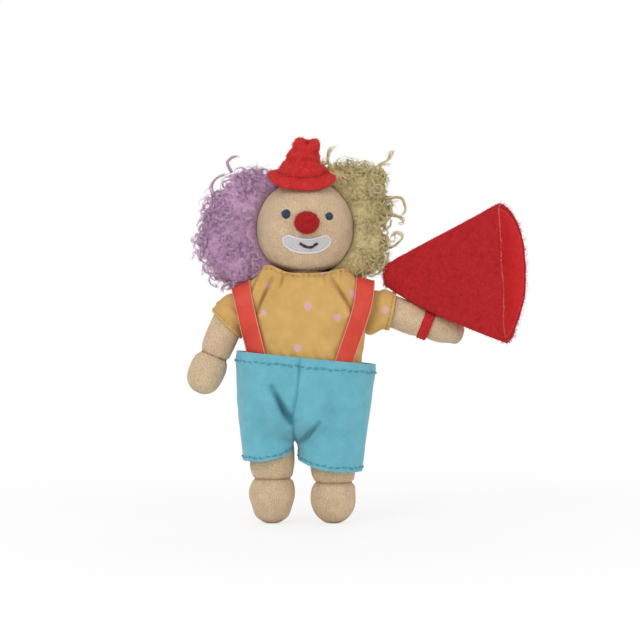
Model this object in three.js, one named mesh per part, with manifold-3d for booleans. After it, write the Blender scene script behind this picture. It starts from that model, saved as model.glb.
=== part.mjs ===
// A pocket clown doll: knitted and stuffed body, head and limbs, dressed in a shirt, shorts and
// suspenders, with a curly wig in two colours, a felt hat, and a felt megaphone on a wrist elastic.
// Millimetres, +Z up. The doll faces -Y, so its own left side lies at +X.
import * as THREE from 'three';
import { mergeVertices } from 'three/addons/utils/BufferGeometryUtils.js';
import Module from 'manifold-3d';

const wasm = await Module();
wasm.setup();

// Cloth, felt and thread
const clearance = 0.3; // gap between two pieces that touch
const skinWall = 0.9; // knitted jersey
const shirtWall = 0.7;
const shortsWall = 0.9;
const feltWall = 1.2;
const liningWall = 0.6;
const ribbonWall = 0.9;
const embroidery = 0.5; // how far eyes and mouth stand out
const threadThickness = 0.6;

// Legs and feet
const ankleHeight = { right: 16.3, left: 14.9 };
const legSpread = { right: -12, left: 10.2 }; // centre of each leg along X
const hipHeight = 38;
const thighRadius = 7.6;
const shankRadius = 8;
const footRadius = 8.1;
const ankleBallRadius = 5.6;
const soleCut = 0.8; // depth of the flat that each foot stands on

// Torso
const torsoBottom = hipHeight + 4;
const torsoHeight = 46.8;
const torsoTop = torsoBottom + torsoHeight;
const bellyHalfWidth = 20;
const chestHalfWidth = 22;
const torsoHalfDepth = 11.6;
const collarRise = 3.4; // shirt collar above the torso

// Head
const headRadius = 17.6;
const neckRadius = 5.5;
const neckHeight = torsoTop + 4.2; // centre of the neck, where the head nods
const headHeight = neckHeight + 13.8; // centre of the head
const headNod = 10; // degrees each way
const headTurn = 45; // and to each side
const noseRadius = 4.2;
const eyeRadius = { right: 1.5, left: 1.3 };
const eyePlace = { right: [-6.5, 5.2], left: [9.2, 4.4] }; // across and up from the middle of the head
const faceShift = 1.4; // the mouth lies this much to the doll's left
const mouthHalfWidth = 8.7;

// Arms
const shoulderPlace = { right: [-26, 0, 77.5], left: [26.5, 0, 78.6] };
const armAngle = { right: 23, left: 69.5 }; // degrees out from hanging straight down
const armInward = { right: 18, left: 24.5 }; // how near to hanging straight down each arm can turn
const armUp = { right: 133, left: 94.5 }; // and how far out and up
const armForward = 45; // degrees that an arm swings forward
const armBack = -30;
const armLength = 18; // shoulder to elbow tie
const handLength = 14.6;
const armRootRadius = 5.7;
const armRadius = 5.8;
const handRadius = 6.1;
const elbowBallRadius = 4.3;
const knotRadius = 2.8;
const sleeveLength = 7; // shoulder to cuff
const sleeveFlare = 0.5;

// Tied creases at the elbows and ankles
const creaseAngle = 21.7; // degrees, half the groove that lets the limb bend

// Shorts
const shortsTop = 61.2;
const shortsSlope = -0.09; // they sit crooked, lower on the doll's left
const hemHeight = { right: 22.6, left: 20.4 };
const hemHalfWidth = { right: 9.8, left: 11 };

// Suspenders
const ribbonWidth = 6.4;
const ribbonTop = { right: -21, left: 21 }; // centre of each ribbon at the shoulder
const ribbonFoot = { right: -17.6, left: 14.6 }; // and at the waist

// Megaphone
const megaphoneLength = 45.4;
const megaphoneMouth = 49.4; // height of the mouth
const megaphoneTip = 8; // height of the small end
const tipDepth = 6; // from the flat panel to the back, at the small end
const megaphoneDepth = 21; // from the flat panel to the back of the bulge, at the mouth
const panelTrim = 2; // how much shorter the flat panel is than the back
const mouthLean = 1.2; // how far the mouth leans back at its top
const megaphoneTurn = 22; // degrees that the mouth turns to the front
const megaphonePlace = [29.6, 0.4, 90.2]; // middle of the small end
const elasticWidth = 2.8;
const elasticWall = 0.8;

// Hat
const brimRadius = 12.3;
const crownRadius = 7.4;
const crownTopRadius = 4.7;
const crownHeight = 15.6;
const brimDroop = 2.2; // the brim's edge hangs this much below its foot
const hatTilt = 15; // degrees forward, onto the forehead
const hatLean = 2; // degrees towards the doll's left

// Wig
const curlRadius = 5.6;
const wigCap = 3.4; // thickness of the hair between the curls

// Smoothness
const fine = 20;
const coarse = 12;
const hidden = 8; // for stuffing and knots

// Colours
const colours = {
  knit: 0xceae8c,
  stuffing: 0xf1eee6,
  shirt: 0xd8ae64,
  shorts: 0x74bccb,
  ribbon: 0xd4513f,
  thread: 0xb08f6c,
  felt: 0xc23433,
  lining: 0xd23a38,
  lilac: 0xab88a6,
  straw: 0xb7a476,
  nose: 0xab2429,
  eye: 0x27496b,
  white: 0xe3e1e6,
  smile: 0x4a2a2c,
};

const { degToRad } = THREE.MathUtils;

// Geometry helpers

function toSolid(geometry) {
  const bare = geometry.index ? geometry.toNonIndexed() : geometry.clone();
  for (const name of Object.keys(bare.attributes)) {
    if (name !== 'position') bare.deleteAttribute(name);
  }
  const merged = mergeVertices(bare, 1e-4);
  const build = (triangles) => new wasm.Manifold(new wasm.Mesh({
    numProp: 3,
    vertProperties: merged.attributes.position.array,
    triVerts: triangles,
  }));
  const made = build(new Uint32Array(merged.index.array));
  if (made.volume() > 0) return made;
  return build(new Uint32Array(merged.index.array).reverse()); // the outline was drawn the other way round
}

function toGeometry(solid) {
  const mesh = solid.getMesh();
  return new THREE.BufferGeometry()
    .setAttribute('position', new THREE.BufferAttribute(mesh.vertProperties, 3))
    .setIndex(new THREE.BufferAttribute(mesh.triVerts, 1));
}

function ball(radius, centre = new THREE.Vector3(), segments = 24, stretch = [1, 1, 1]) {
  const geometry = new THREE.SphereGeometry(radius, segments, Math.round(segments / 2));
  return toSolid(geometry.scale(...stretch).translate(centre.x, centre.y, centre.z));
}

function block(width, depth, height, centre) {
  return toSolid(new THREE.BoxGeometry(width, depth, height).translate(centre.x, centre.y, centre.z));
}

// A closed body through rings of points, each ring running the same way round.
function loft(rings) {
  const around = rings[0].length;
  const middle = (ring) => ring.reduce((sum, p) => sum.add(p), new THREE.Vector3()).divideScalar(around);
  const points = [...rings.flat(), middle(rings[0]), middle(rings.at(-1))];
  const first = around * rings.length;
  const faces = [];
  for (let j = 0; j < around; j++) {
    const k = (j + 1) % around;
    faces.push(first, k, j);
    faces.push(first + 1, first - around + j, first - around + k);
    for (let i = 0; i + 1 < rings.length; i++) {
      const low = i * around;
      const high = low + around;
      faces.push(low + j, low + k, high + k, low + j, high + k, high + j);
    }
  }
  const geometry = new THREE.BufferGeometry().setFromPoints(points);
  return toSolid(geometry.setIndex(faces));
}

// A flat ring whose corners are rounder or squarer with its power: 2 is an ellipse.
function oval({ x = 0, y = 0, z, halfWidth, halfDepth, power = 2, saddle = 0, slope = 0 }, segments) {
  const round = (v) => Math.sign(v) * Math.abs(v) ** (2 / power);
  return Array.from({ length: segments }, (_, i) => {
    const angle = (2 * Math.PI * i) / segments;
    const across = round(Math.cos(angle));
    const along = halfWidth * across;
    const depth = halfDepth * round(Math.sin(angle));
    return new THREE.Vector3(x + along, y + depth, z + saddle * across ** 2 + slope * along);
  });
}

function grown(ring, by) {
  return { ...ring, halfWidth: ring.halfWidth + by, halfDepth: ring.halfDepth + by };
}

// A solid of revolution about +Y, from a profile of [radius, height] pairs.
function turned(profile, segments) {
  const points = profile.map(([radius, height]) => new THREE.Vector2(Math.max(radius, 0), height));
  return toSolid(new THREE.LatheGeometry(points, segments));
}

// Part of a circle about the origin of a profile, from one angle to another, in degrees from -Y.
function arc(radius, from, to, steps) {
  return Array.from({ length: steps + 1 }, (_, i) => {
    const angle = THREE.MathUtils.degToRad(from + ((to - from) * i) / steps);
    return [radius * Math.sin(angle), -radius * Math.cos(angle)];
  });
}

// A profile that runs down from the axis and back to it, moved inwards for the inside of a skin.
function inset(profile, by) {
  return profile.map(([radius, height], i) => {
    const before = profile[Math.max(i - 1, 0)];
    const after = profile[Math.min(i + 1, profile.length - 1)];
    if (i === 0 || i === profile.length - 1) {
      return [0, height + Math.sign(profile[profile.length >> 1][1] - height) * by];
    }
    const run = Math.hypot(after[0] - before[0], after[1] - before[1]);
    return [radius + (by * (after[1] - before[1])) / run, height - (by * (after[0] - before[0])) / run];
  });
}

// A skin and the stuffing that fills it, from one outline. Both are cut by the same sockets.
function stuffed(profile, segments, cuts) {
  const cut = (solid) => cuts.reduce((rest, tool) => rest.subtract(tool), solid);
  const skin = turned(profile, segments).subtract(turned(inset(profile, skinWall), hidden));
  const stuffing = turned(inset(profile, skinWall + clearance), hidden);
  return { skin: cut(skin), stuffing: cut(stuffing) };
}

// Scene helpers

const doll = new THREE.Group();
const sides = ['right', 'left'];
const outward = { right: -1, left: 1 }; // which way along X each side lies

function addPiece(group, name, colour, solid, roughness = 0.9) {
  const material = new THREE.MeshStandardMaterial({ color: colour, roughness, metalness: 0 });
  const mesh = new THREE.Mesh(toGeometry(solid), material);
  mesh.name = name;
  group.add(mesh);
}

function cutBy(solid, tools) {
  return tools.reduce((rest, tool) => rest.subtract(tool), solid);
}

// Places that pieces share

const hip = {
  right: new THREE.Vector3(legSpread.right, 0, hipHeight),
  left: new THREE.Vector3(legSpread.left, 0, hipHeight),
};
const shoulder = {
  right: new THREE.Vector3(...shoulderPlace.right),
  left: new THREE.Vector3(...shoulderPlace.left),
};
const neckCentre = new THREE.Vector3(0, 0, neckHeight);
const headCentre = new THREE.Vector3(0, 0, headHeight);
const sleeveRadius = armRootRadius + clearance + shirtWall;
const neckSocket = ball(neckRadius + clearance, neckCentre, coarse);

// Torso

const torsoRings = [
  { z: torsoBottom + 1, halfWidth: bellyHalfWidth - 8, halfDepth: 3.6 },
  { z: torsoBottom + 4.4, halfWidth: bellyHalfWidth - 3.2, halfDepth: torsoHalfDepth - 4.6 },
  { z: torsoBottom + 9, halfWidth: bellyHalfWidth - 0.8, halfDepth: torsoHalfDepth - 1.6 },
  { z: torsoBottom + 17, halfWidth: bellyHalfWidth, halfDepth: torsoHalfDepth },
  { z: torsoBottom + 27, halfWidth: chestHalfWidth - 1, halfDepth: torsoHalfDepth },
  { z: torsoBottom + 37, halfWidth: chestHalfWidth, halfDepth: torsoHalfDepth - 0.2 },
  { z: torsoTop - 5, halfWidth: chestHalfWidth - 1, halfDepth: torsoHalfDepth - 0.8 },
  { z: torsoTop - 2, halfWidth: chestHalfWidth - 4, halfDepth: torsoHalfDepth - 2 },
  { z: torsoTop, halfWidth: chestHalfWidth - 9, halfDepth: torsoHalfDepth - 5 },
];

function torsoBody(growBy, rings = torsoRings) {
  const last = rings.length - 1;
  return loft(rings.map((ring, i) => {
    const lift = i === last ? growBy : i === 0 ? -growBy : 0;
    return oval({ power: 2.4, ...grown(ring, growBy), z: ring.z + lift }, fine);
  }));
}

// The room that a sleeve takes at the shoulder as the arm turns out and swings.
const armSockets = sides.map((side) => {
  const reach = sleeveRadius + sleeveFlare + clearance;
  const length = sleeveLength + 3;
  const swept = [
    [armInward[side], 0],
    [armInward[side], armBack],
    [armAngle[side], armForward],
    [armAngle[side], armBack],
    [armAngle[side], 0],
    [armUp[side], armForward],
  ].map(([out, swing]) => {
    const sleeve = new THREE.CylinderGeometry(reach, reach, length, coarse).translate(0, -length / 2, 0);
    sleeve.rotateX(Math.PI / 2 - degToRad(swing)).rotateY(-outward[side] * degToRad(out));
    return toSolid(sleeve.translate(...shoulderPlace[side]));
  });
  return swept.reduce((sum, part) => sum.add(part), ball(reach, shoulder[side], fine));
});

// The room that a leg takes, hanging and lifted forward to sit.
const legSockets = sides.map((side) => {
  const reach = thighRadius + 2 * clearance;
  const length = 2 * thighRadius;
  const sitting = new THREE.CylinderGeometry(reach, reach, length, coarse);
  sitting.translate(hip[side].x, hip[side].y - length / 2, hip[side].z);
  return ball(reach, hip[side], coarse).add(toSolid(sitting));
});

// The room that the head takes as it turns and nods.
const headSweep = [
  [0, 0],
  [-headNod, 0],
  [headNod, 0],
  [-headNod, -headTurn],
  [headNod, headTurn],
].map(([nod, turned]) => {
  const lever = headHeight - neckHeight;
  const aside = lever * Math.sin(degToRad(nod));
  const centre = new THREE.Vector3(
    -aside * Math.sin(degToRad(turned)),
    aside * Math.cos(degToRad(turned)),
    neckHeight + lever * Math.cos(degToRad(nod)),
  );
  return ball(headRadius + 2 * clearance, centre, fine);
});

function addTorso() {
  const sockets = [...armSockets, ...legSockets, ...headSweep, neckSocket];
  const skin = torsoBody(0).subtract(torsoBody(-skinWall));
  addPiece(doll, 'torso_skin', colours.knit, cutBy(skin, sockets));
  addPiece(doll, 'torso_stuffing', colours.stuffing, cutBy(torsoBody(-skinWall - clearance), sockets));
}

// Shirt and suspenders

const shirtInside = clearance;
const shirtOutside = shirtInside + shirtWall;
const ribbonInside = shirtOutside + clearance;
const ribbonOutside = ribbonInside + ribbonWall;
const tuck = 6; // how far the shirt and suspenders reach down inside the shorts

function addShirt() {
  const foot = shortsTop - tuck;
  const top = torsoTop + collarRise;
  const high = new THREE.Vector3(0, 0, (foot + top) / 2);
  const slab = block(4 * chestHalfWidth, 4 * torsoHalfDepth, top - foot, high);
  const collar = { z: torsoTop + collarRise + shirtWall, halfWidth: 12.4, halfDepth: 9.5 };
  const shoulders = { z: torsoTop, halfWidth: chestHalfWidth - 6.9, halfDepth: 9.8 };
  const rings = [...torsoRings.slice(0, -1), shoulders, collar];
  const shell = torsoBody(shirtOutside, rings).subtract(torsoBody(shirtInside, rings));
  const sockets = [...armSockets, ...headSweep];
  addPiece(doll, 'shirt_body', colours.shirt, cutBy(shell.intersect(slab), sockets));
}

function addSuspenders() {
  const shell = torsoBody(ribbonOutside).subtract(torsoBody(ribbonInside));
  const foot = shortsTop - tuck;
  for (const side of sides) {
    const half = ribbonWidth / 2;
    const top = torsoTop + 2 * ribbonOutside;
    const strip = new THREE.Shape([
      new THREE.Vector2(ribbonFoot[side] - half, foot),
      new THREE.Vector2(ribbonFoot[side] + half, foot),
      new THREE.Vector2(ribbonTop[side] + half, shoulder[side].z),
      new THREE.Vector2(ribbonTop[side] + half, top),
      new THREE.Vector2(ribbonTop[side] - half, top),
      new THREE.Vector2(ribbonTop[side] - half, shoulder[side].z),
    ]);
    const depth = 4 * torsoHalfDepth;
    const prism = new THREE.ExtrudeGeometry(strip, { depth, bevelEnabled: false });
    prism.translate(0, 0, -depth / 2).rotateX(Math.PI / 2);
    const ribbon = cutBy(shell.intersect(toSolid(prism)), [...armSockets, ...headSweep]);
    addPiece(doll, `${side}_suspender`, colours.ribbon, ribbon, 0.5);
  }
}

// Shorts

function shortsBody(growBy, extra) {
  const rings = [
    { z: shortsTop + extra, halfWidth: 24.6, halfDepth: 14.9, slope: shortsSlope },
    { z: shortsTop - 3, halfWidth: 24.6, halfDepth: 14.9, slope: shortsSlope },
    { z: shortsTop - 10, halfWidth: 25, halfDepth: 15.4, slope: shortsSlope / 2 },
    { z: hipHeight + 6, halfWidth: 24.4, halfDepth: 14.6 },
    { z: hipHeight - 2, halfWidth: 23.2, halfDepth: 12 },
  ];
  const hips = loft(rings.reverse().map((ring) => oval({ ...grown(ring, growBy), power: 2.6 }, fine)));
  const legs = sides.map((side) => {
    const x = legSpread[side] + outward[side] * 0.6;
    const spread = hemHalfWidth[side];
    return loft([
      { x, y: 0, z: hemHeight[side] - extra, halfWidth: spread, halfDepth: 10.2 },
      { x, y: 0, z: hemHeight[side] + 7, halfWidth: spread + 0.4, halfDepth: 10.6 },
      { x, y: 0, z: hipHeight - 1, halfWidth: spread + 0.8, halfDepth: 11.4 },
      { x, y: 0, z: hipHeight + 3, halfWidth: spread - 1, halfDepth: 9.5 },
    ].map((ring) => oval({ ...grown(ring, growBy), power: 2.3 }, fine)));
  });
  return hips.add(legs[0]).add(legs[1]);
}

function addShorts() {
  const cloth = shortsBody(0, 0).subtract(shortsBody(-shortsWall, 2));
  const seam = (legSpread.left + legSpread.right) / 2;
  const height = 2 * shortsTop;
  for (const side of sides) {
    const width = 3 * bellyHalfWidth;
    const x = seam + (outward[side] * (width + clearance)) / 2;
    const half = block(width, width, height, new THREE.Vector3(x, 0, height / 2));
    addPiece(doll, `shorts_${side}_half`, colours.shorts, cloth.intersect(half));
  }
}

// Limbs. A limb hangs from its joint along -Y in its own frame, and is turned to -Z when placed.

function lip(radius) {
  return [radius, radius * Math.tan(degToRad(creaseAngle))];
}

// The half of a limb that ends in a socket for the next one.
function upperLimb({ rootRadius, radius, length, ballRadius, cuts }) {
  const end = ([r, h]) => [r, h - length];
  const profile = [
    [0, rootRadius],
    ...arc(rootRadius, 155, 80, 3),
    [radius, -length * 0.5],
    [radius, -length + radius * 0.75],
    end([radius - 0.4, lip(radius)[1]]),
    end(lip(ballRadius + 0.1)),
    end([0, lip(ballRadius)[1] - 0.2]),
  ].sort((a, b) => b[1] - a[1]);
  const socket = ball(ballRadius + clearance, new THREE.Vector3(0, -length, 0), coarse);
  return stuffed(profile, coarse, [socket, ...cuts]);
}

// The half that turns in that socket.
function lowerLimb({ radius, length, ballRadius, flat }) {
  const neck = ballRadius * Math.cos(degToRad(creaseAngle));
  const drop = ballRadius * Math.sin(degToRad(creaseAngle));
  const belly = (length + radius * 0.5) / 2;
  const end = length + flat;
  const round = radius * 0.9;
  const profile = [
    [0, ballRadius],
    ...arc(ballRadius, 150, 80, 2),
    [neck, -drop],
    [radius - 0.5, -lip(radius - 0.5)[1] - 0.2],
    [radius, -belly],
    ...arc(round, 70, 20, 3).map(([r, h]) => [r * (radius / round), h - end + round]),
    [0, -end],
  ];
  const seamHole = new THREE.CylinderGeometry(1.4, 1.4, 4, 8).translate(0, ballRadius, 0);
  return { profile, seamHole: toSolid(seamHole) };
}

// A thread wound round the limb just above its crease.
function addTie(group, name, radius, length) {
  const [, height] = lip(radius);
  const inner = radius - 0.4 + clearance;
  const middle = height - length + 1;
  const outline = new THREE.Path();
  outline.absarc(inner + threadThickness / 2, middle, threadThickness / 2, 0, 2 * Math.PI);
  const tie = toSolid(new THREE.LatheGeometry(outline.getPoints(2), coarse));
  addPiece(group, name, colours.thread, tie, 0.6);
}

function limbGroup(parent, place, angle) {
  const group = new THREE.Group();
  group.position.copy(place);
  group.rotation.y = -angle;
  const upright = new THREE.Group();
  upright.rotation.x = Math.PI / 2;
  group.add(upright);
  parent.add(group);
  return upright;
}

function addArm(side) {
  const arm = limbGroup(doll, shoulder[side], outward[side] * degToRad(armAngle[side]));
  const knot = ball(knotRadius, new THREE.Vector3(), hidden);
  const knotRoom = ball(knotRadius + 2 * clearance, new THREE.Vector3(), hidden);
  const threadHole = toSolid(new THREE.CylinderGeometry(1, 1, armRadius, 8).translate(0, armRadius, 0));
  const upper = upperLimb({
    rootRadius: armRootRadius,
    radius: armRadius,
    length: armLength,
    ballRadius: elbowBallRadius,
    cuts: [knotRoom, threadHole],
  });
  addPiece(arm, `${side}_arm_knot`, colours.thread, knot, 0.6);
  addPiece(arm, `${side}_arm_skin`, colours.knit, upper.skin);
  addPiece(arm, `${side}_arm_stuffing`, colours.stuffing, upper.stuffing);
  addTie(arm, `${side}_elbow_tie`, armRadius, armLength);
  addSleeve(arm, `${side}_sleeve`);

  const hand = new THREE.Group();
  hand.position.y = -armLength;
  arm.add(hand);
  const { profile, seamHole } = lowerLimb({
    radius: handRadius,
    length: handLength,
    ballRadius: elbowBallRadius,
    flat: 0,
  });
  const lower = stuffed(profile, coarse, []);
  addPiece(hand, `${side}_hand_skin`, colours.knit, lower.skin.subtract(seamHole));
  addPiece(hand, `${side}_hand_stuffing`, colours.stuffing, lower.stuffing);
  return arm;
}

function addSleeve(arm, name) {
  const wall = (radius, hem, flare) => turned([
    [0, radius],
    ...arc(radius, 150, 90, 3),
    [radius + flare, -hem],
    [0, -hem],
  ], coarse);
  const outer = wall(sleeveRadius, sleeveLength, sleeveFlare);
  const inner = wall(armRootRadius + clearance, sleeveLength + 1, sleeveFlare);
  addPiece(arm, name, colours.shirt, outer.subtract(inner));
}

function addLeg(side) {
  const leg = limbGroup(doll, hip[side], 0);
  const length = hipHeight - ankleHeight[side];
  const upper = upperLimb({
    rootRadius: thighRadius,
    radius: shankRadius,
    length,
    ballRadius: ankleBallRadius,
    cuts: [],
  });
  addPiece(leg, `${side}_leg_skin`, colours.knit, upper.skin);
  addPiece(leg, `${side}_leg_stuffing`, colours.stuffing, upper.stuffing);
  addTie(leg, `${side}_ankle_tie`, shankRadius, length);

  const foot = new THREE.Group();
  foot.position.y = -length;
  leg.add(foot);
  const { profile, seamHole } = lowerLimb({
    radius: footRadius,
    length: ankleHeight[side],
    ballRadius: ankleBallRadius,
    flat: soleCut,
  });
  const below = block(40, 20, 40, new THREE.Vector3(0, -ankleHeight[side] - 10, 0));
  const lower = stuffed(profile, coarse, [below]);
  addPiece(foot, `${side}_foot_skin`, colours.knit, lower.skin.subtract(seamHole));
  addPiece(foot, `${side}_foot_stuffing`, colours.stuffing, lower.stuffing);
}

// Head

function addNeck() {
  addPiece(doll, 'neck_plug', colours.stuffing, ball(neckRadius, neckCentre, coarse));
}

// What lies over the head between two distances from its surface, seen from the front through an outline.
function facePatch(shape, from, to, shift = 0) {
  const depth = 2 * headRadius;
  const prism = new THREE.ExtrudeGeometry(shape, { depth, bevelEnabled: false, curveSegments: 6 });
  prism.rotateX(Math.PI / 2).translate(shift, 0, headHeight);
  const outer = ball(headRadius + to, headCentre, 2 * fine);
  const inner = ball(headRadius + from, headCentre, 2 * fine);
  return outer.subtract(inner).intersect(toSolid(prism));
}

function addFace() {
  const onSkin = clearance;
  const raised = onSkin + embroidery;
  for (const side of sides) {
    const eye = new THREE.Shape().absarc(...eyePlace[side], eyeRadius[side], 0, 2 * Math.PI);
    addPiece(doll, `${side}_eye`, colours.eye, facePatch(eye, onSkin, raised), 0.4);
  }
  const mouth = new THREE.Shape()
    .moveTo(-mouthHalfWidth + 1.6, -2.2)
    .quadraticCurveTo(0, -3.8, mouthHalfWidth - 1.6, -2.2)
    .quadraticCurveTo(mouthHalfWidth + 1, -3.4, mouthHalfWidth - 1.4, -6.2)
    .quadraticCurveTo(mouthHalfWidth - 3.4, -9.2, 0, -9)
    .quadraticCurveTo(3.4 - mouthHalfWidth, -9.2, 1.4 - mouthHalfWidth, -6.2)
    .quadraticCurveTo(-mouthHalfWidth - 1, -3.4, -mouthHalfWidth + 1.6, -2.2);
  const nose = new THREE.Vector3(1, -headRadius - 2.2, headHeight + 2);
  const round = ball(noseRadius, nose, coarse);
  const room = ball(noseRadius + clearance, nose, coarse);
  const patch = facePatch(mouth, onSkin, raised, faceShift).subtract(room);
  const smile = new THREE.Shape()
    .moveTo(-3.4, -5.2)
    .quadraticCurveTo(0, -8.4, 3.4, -5.2)
    .lineTo(3.9, -5.8)
    .quadraticCurveTo(0, -9.4, -3.9, -5.8);
  addPiece(doll, 'mouth_patch', colours.white, patch, 0.6);
  const onPatch = raised + clearance;
  addPiece(doll, 'smile', colours.smile, facePatch(smile, onPatch, onPatch + embroidery, faceShift), 0.5);
  const head = ball(headRadius + clearance, headCentre, 2 * fine);
  addPiece(doll, 'nose', colours.nose, round.subtract(head));
}

function addHead() {
  const hollow = ball(headRadius - skinWall, headCentre, coarse);
  const filling = ball(headRadius - skinWall - clearance, headCentre, coarse);
  const skin = ball(headRadius, headCentre, fine).subtract(hollow);
  addPiece(doll, 'head_skin', colours.knit, skin.subtract(neckSocket));
  addPiece(doll, 'head_stuffing', colours.stuffing, filling.subtract(neckSocket));
}

// Megaphone

const turn = degToRad(megaphoneTurn);
const megaphoneAxis = new THREE.Vector3(Math.cos(turn), -Math.sin(turn), 0);

// A flat panel in front and a bulging one behind, joined along two creases.
function megaphoneBody(growBy, overrun) {
  const steps = [0, 0.25, 0.5, 0.75, 1];
  const across = new THREE.Vector3(-megaphoneAxis.y, megaphoneAxis.x, 0);
  const start = new THREE.Vector3(...megaphonePlace);
  return loft(steps.map((t) => {
    const s = t === 0 ? -overrun : t === 1 ? megaphoneLength + overrun : t * megaphoneLength;
    const share = s / megaphoneLength;
    const half = (megaphoneTip + (megaphoneMouth - megaphoneTip) * share) / 2 + growBy;
    const depth = tipDepth + (megaphoneDepth - tipDepth) * share + 2 * growBy;
    const centre = start.clone().addScaledVector(megaphoneAxis, s);
    const bulge = Array.from({ length: 13 }, (_, i) => {
      const angle = Math.PI * (i / 12 - 0.5);
      return [depth * Math.cos(angle) - growBy, Math.sin(angle), Math.cos(angle)];
    });
    const panel = [0.5, 0, -0.5].map((v) => [-growBy - 1, v, 0]);
    return [...bulge, ...panel].map(([w, v, round]) => {
      const short = (panelTrim + mouthLean * v) * (1 - round) * share;
      const point = centre.clone().addScaledVector(across, w).addScaledVector(megaphoneAxis, -short);
      return point.setZ(centre.z + half * v);
    });
  }));
}

// The brim rests on the head where the crown meets it.
const brimFoot = Math.sqrt((headRadius + clearance) ** 2 - (crownRadius - 0.6) ** 2);

// Wig: two masses of curls that meet at the back of the head. Each entry is a place on the head,
// in degrees round from the front and up, and how far the curls stand out there.
const curls = {
  left: [
    [82, 45, 13.5], [86, 10, 11], [86, -20, 11], [92, -2, 8],
    [118, 26, 8], [120, -8, 9], [152, 30, 5.5], [156, -6, 6.5],
  ],
  right: [
    [80, 38, 11.5], [84, 12, 16], [84, -12, 15], [88, 0, 9], [88, 26, 9], [88, -30, 12],
    [100, -34, 8], [118, 22, 9], [120, -8, 10], [152, 28, 5.5], [156, -6, 6.8],
  ],
};

function addWig() {
  const megaphoneRoom = megaphoneBody(2 * clearance, 1);
  const head = ball(headRadius + clearance, headCentre, fine);
  const cap = ball(headRadius + wigCap, headCentre, fine);
  const faceWidth = 2 * (headRadius + clearance);
  const faceRoom = block(faceWidth, 40, 80, new THREE.Vector3(0, -26, headHeight));
  const reach = brimRadius + clearance;
  const under = new THREE.CylinderGeometry(reach, reach, headRadius, fine);
  under.translate(0, brimFoot - brimDroop - clearance + headRadius / 2, 0).rotateX(Math.PI / 2);
  under.rotateY(degToRad(hatLean)).rotateX(degToRad(hatTilt)).translate(0, 0, headHeight);
  const hatRoom = toSolid(under);
  for (const side of sides) {
    const mass = curls[side].map(([round, up, out]) => {
      const around = degToRad(round);
      const lift = degToRad(up);
      const away = headRadius - 1 + out - curlRadius * 0.6;
      const place = new THREE.Vector3(
        outward[side] * away * Math.sin(around) * Math.cos(lift),
        -away * Math.cos(around) * Math.cos(lift),
        headHeight + away * Math.sin(lift),
      );
      return ball(curlRadius + Math.max(out - 7, 0) * 0.33, place, 10);
    }).reduce((sum, part) => sum.add(part), cap);
    const width = 80;
    const x = (outward[side] * (width + clearance)) / 2;
    const half = block(width, 80, 80, new THREE.Vector3(x, 0, headHeight));
    const clearOfShirt = block(80, 80, 20, new THREE.Vector3(0, 0, torsoTop + collarRise - 10));
    const colour = side === 'left' ? colours.straw : colours.lilac;
    const cuts = [head, faceRoom, hatRoom, clearOfShirt, megaphoneRoom, ...armSockets];
    addPiece(doll, `${side}_hair`, colour, cutBy(mass.intersect(half), cuts));
  }
}

// Hat

function addHat() {
  const hat = new THREE.Group();
  hat.position.copy(headCentre);
  hat.rotation.set(degToRad(hatTilt), degToRad(hatLean), 0);
  const upright = new THREE.Group();
  upright.rotation.x = Math.PI / 2;
  hat.add(upright);
  doll.add(hat);
  const brimTop = brimFoot + feltWall;
  const brim = turned([
    [0, brimFoot],
    [crownRadius, brimFoot],
    [brimRadius, brimFoot - brimDroop],
    [brimRadius, brimTop - brimDroop],
    [crownRadius, brimTop],
    [0, brimTop],
  ], fine);
  const room = ball(headRadius + clearance, new THREE.Vector3(), fine);
  const opening = toSolid(new THREE.CylinderGeometry(crownRadius - 1, crownRadius - 1, 80, fine));
  addPiece(upright, 'hat_brim', colours.felt, brim.subtract(room).subtract(opening));
  const foot = brimTop + clearance;
  const wall = (by, from, top) => turned([
    [0, from],
    [crownRadius - by, from],
    [crownRadius - 1.4 - by, foot + 4.6],
    [crownTopRadius + 0.6 - by, foot + crownHeight * 0.7],
    [crownTopRadius - by, top - 0.8],
    [crownTopRadius - 1.4 - by, top],
    [0, top - 0.5],
  ], coarse);
  const top = foot + crownHeight;
  const crown = wall(0, foot, top).subtract(wall(feltWall, foot - 1, top - feltWall));
  addPiece(upright, 'hat_crown', colours.felt, crown.subtract(room));
}

function addMegaphone() {
  const felt = megaphoneBody(0, 0).subtract(megaphoneBody(-feltWall, 1));
  const inside = -feltWall - clearance;
  const lining = megaphoneBody(inside, 0).subtract(megaphoneBody(inside - liningWall, 1));
  addPiece(doll, 'megaphone_felt', colours.felt, felt);
  addPiece(doll, 'megaphone_lining', colours.lining, lining);
}

// The elastic lies in the crease of the left arm and is sewn under the megaphone.
function addElastic(arm) {
  const inner = elbowBallRadius + 2 * clearance;
  const half = elasticWidth / 2;
  const ring = toSolid(new THREE.LatheGeometry([
    new THREE.Vector2(inner, -half - armLength),
    new THREE.Vector2(inner + elasticWall, -half - armLength),
    new THREE.Vector2(inner + elasticWall, half - armLength),
    new THREE.Vector2(inner, half - armLength),
    new THREE.Vector2(inner, -half - armLength),
  ], coarse));
  addPiece(arm, 'megaphone_elastic', colours.felt, ring);
}

addTorso();
addShirt();
addSuspenders();
addShorts();
addNeck();
addHead();
addFace();
addWig();
addHat();
addArm('right');
addElastic(addArm('left'));
for (const side of sides) addLeg(side);
addMegaphone();

// The doll stands on z = 0, with the middle of its outline at the origin.
const outline = new THREE.Box3().setFromObject(doll);
const middle = outline.getCenter(new THREE.Vector3());
doll.position.set(-middle.x, -middle.y, -outline.min.z);

export default doll;
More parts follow.
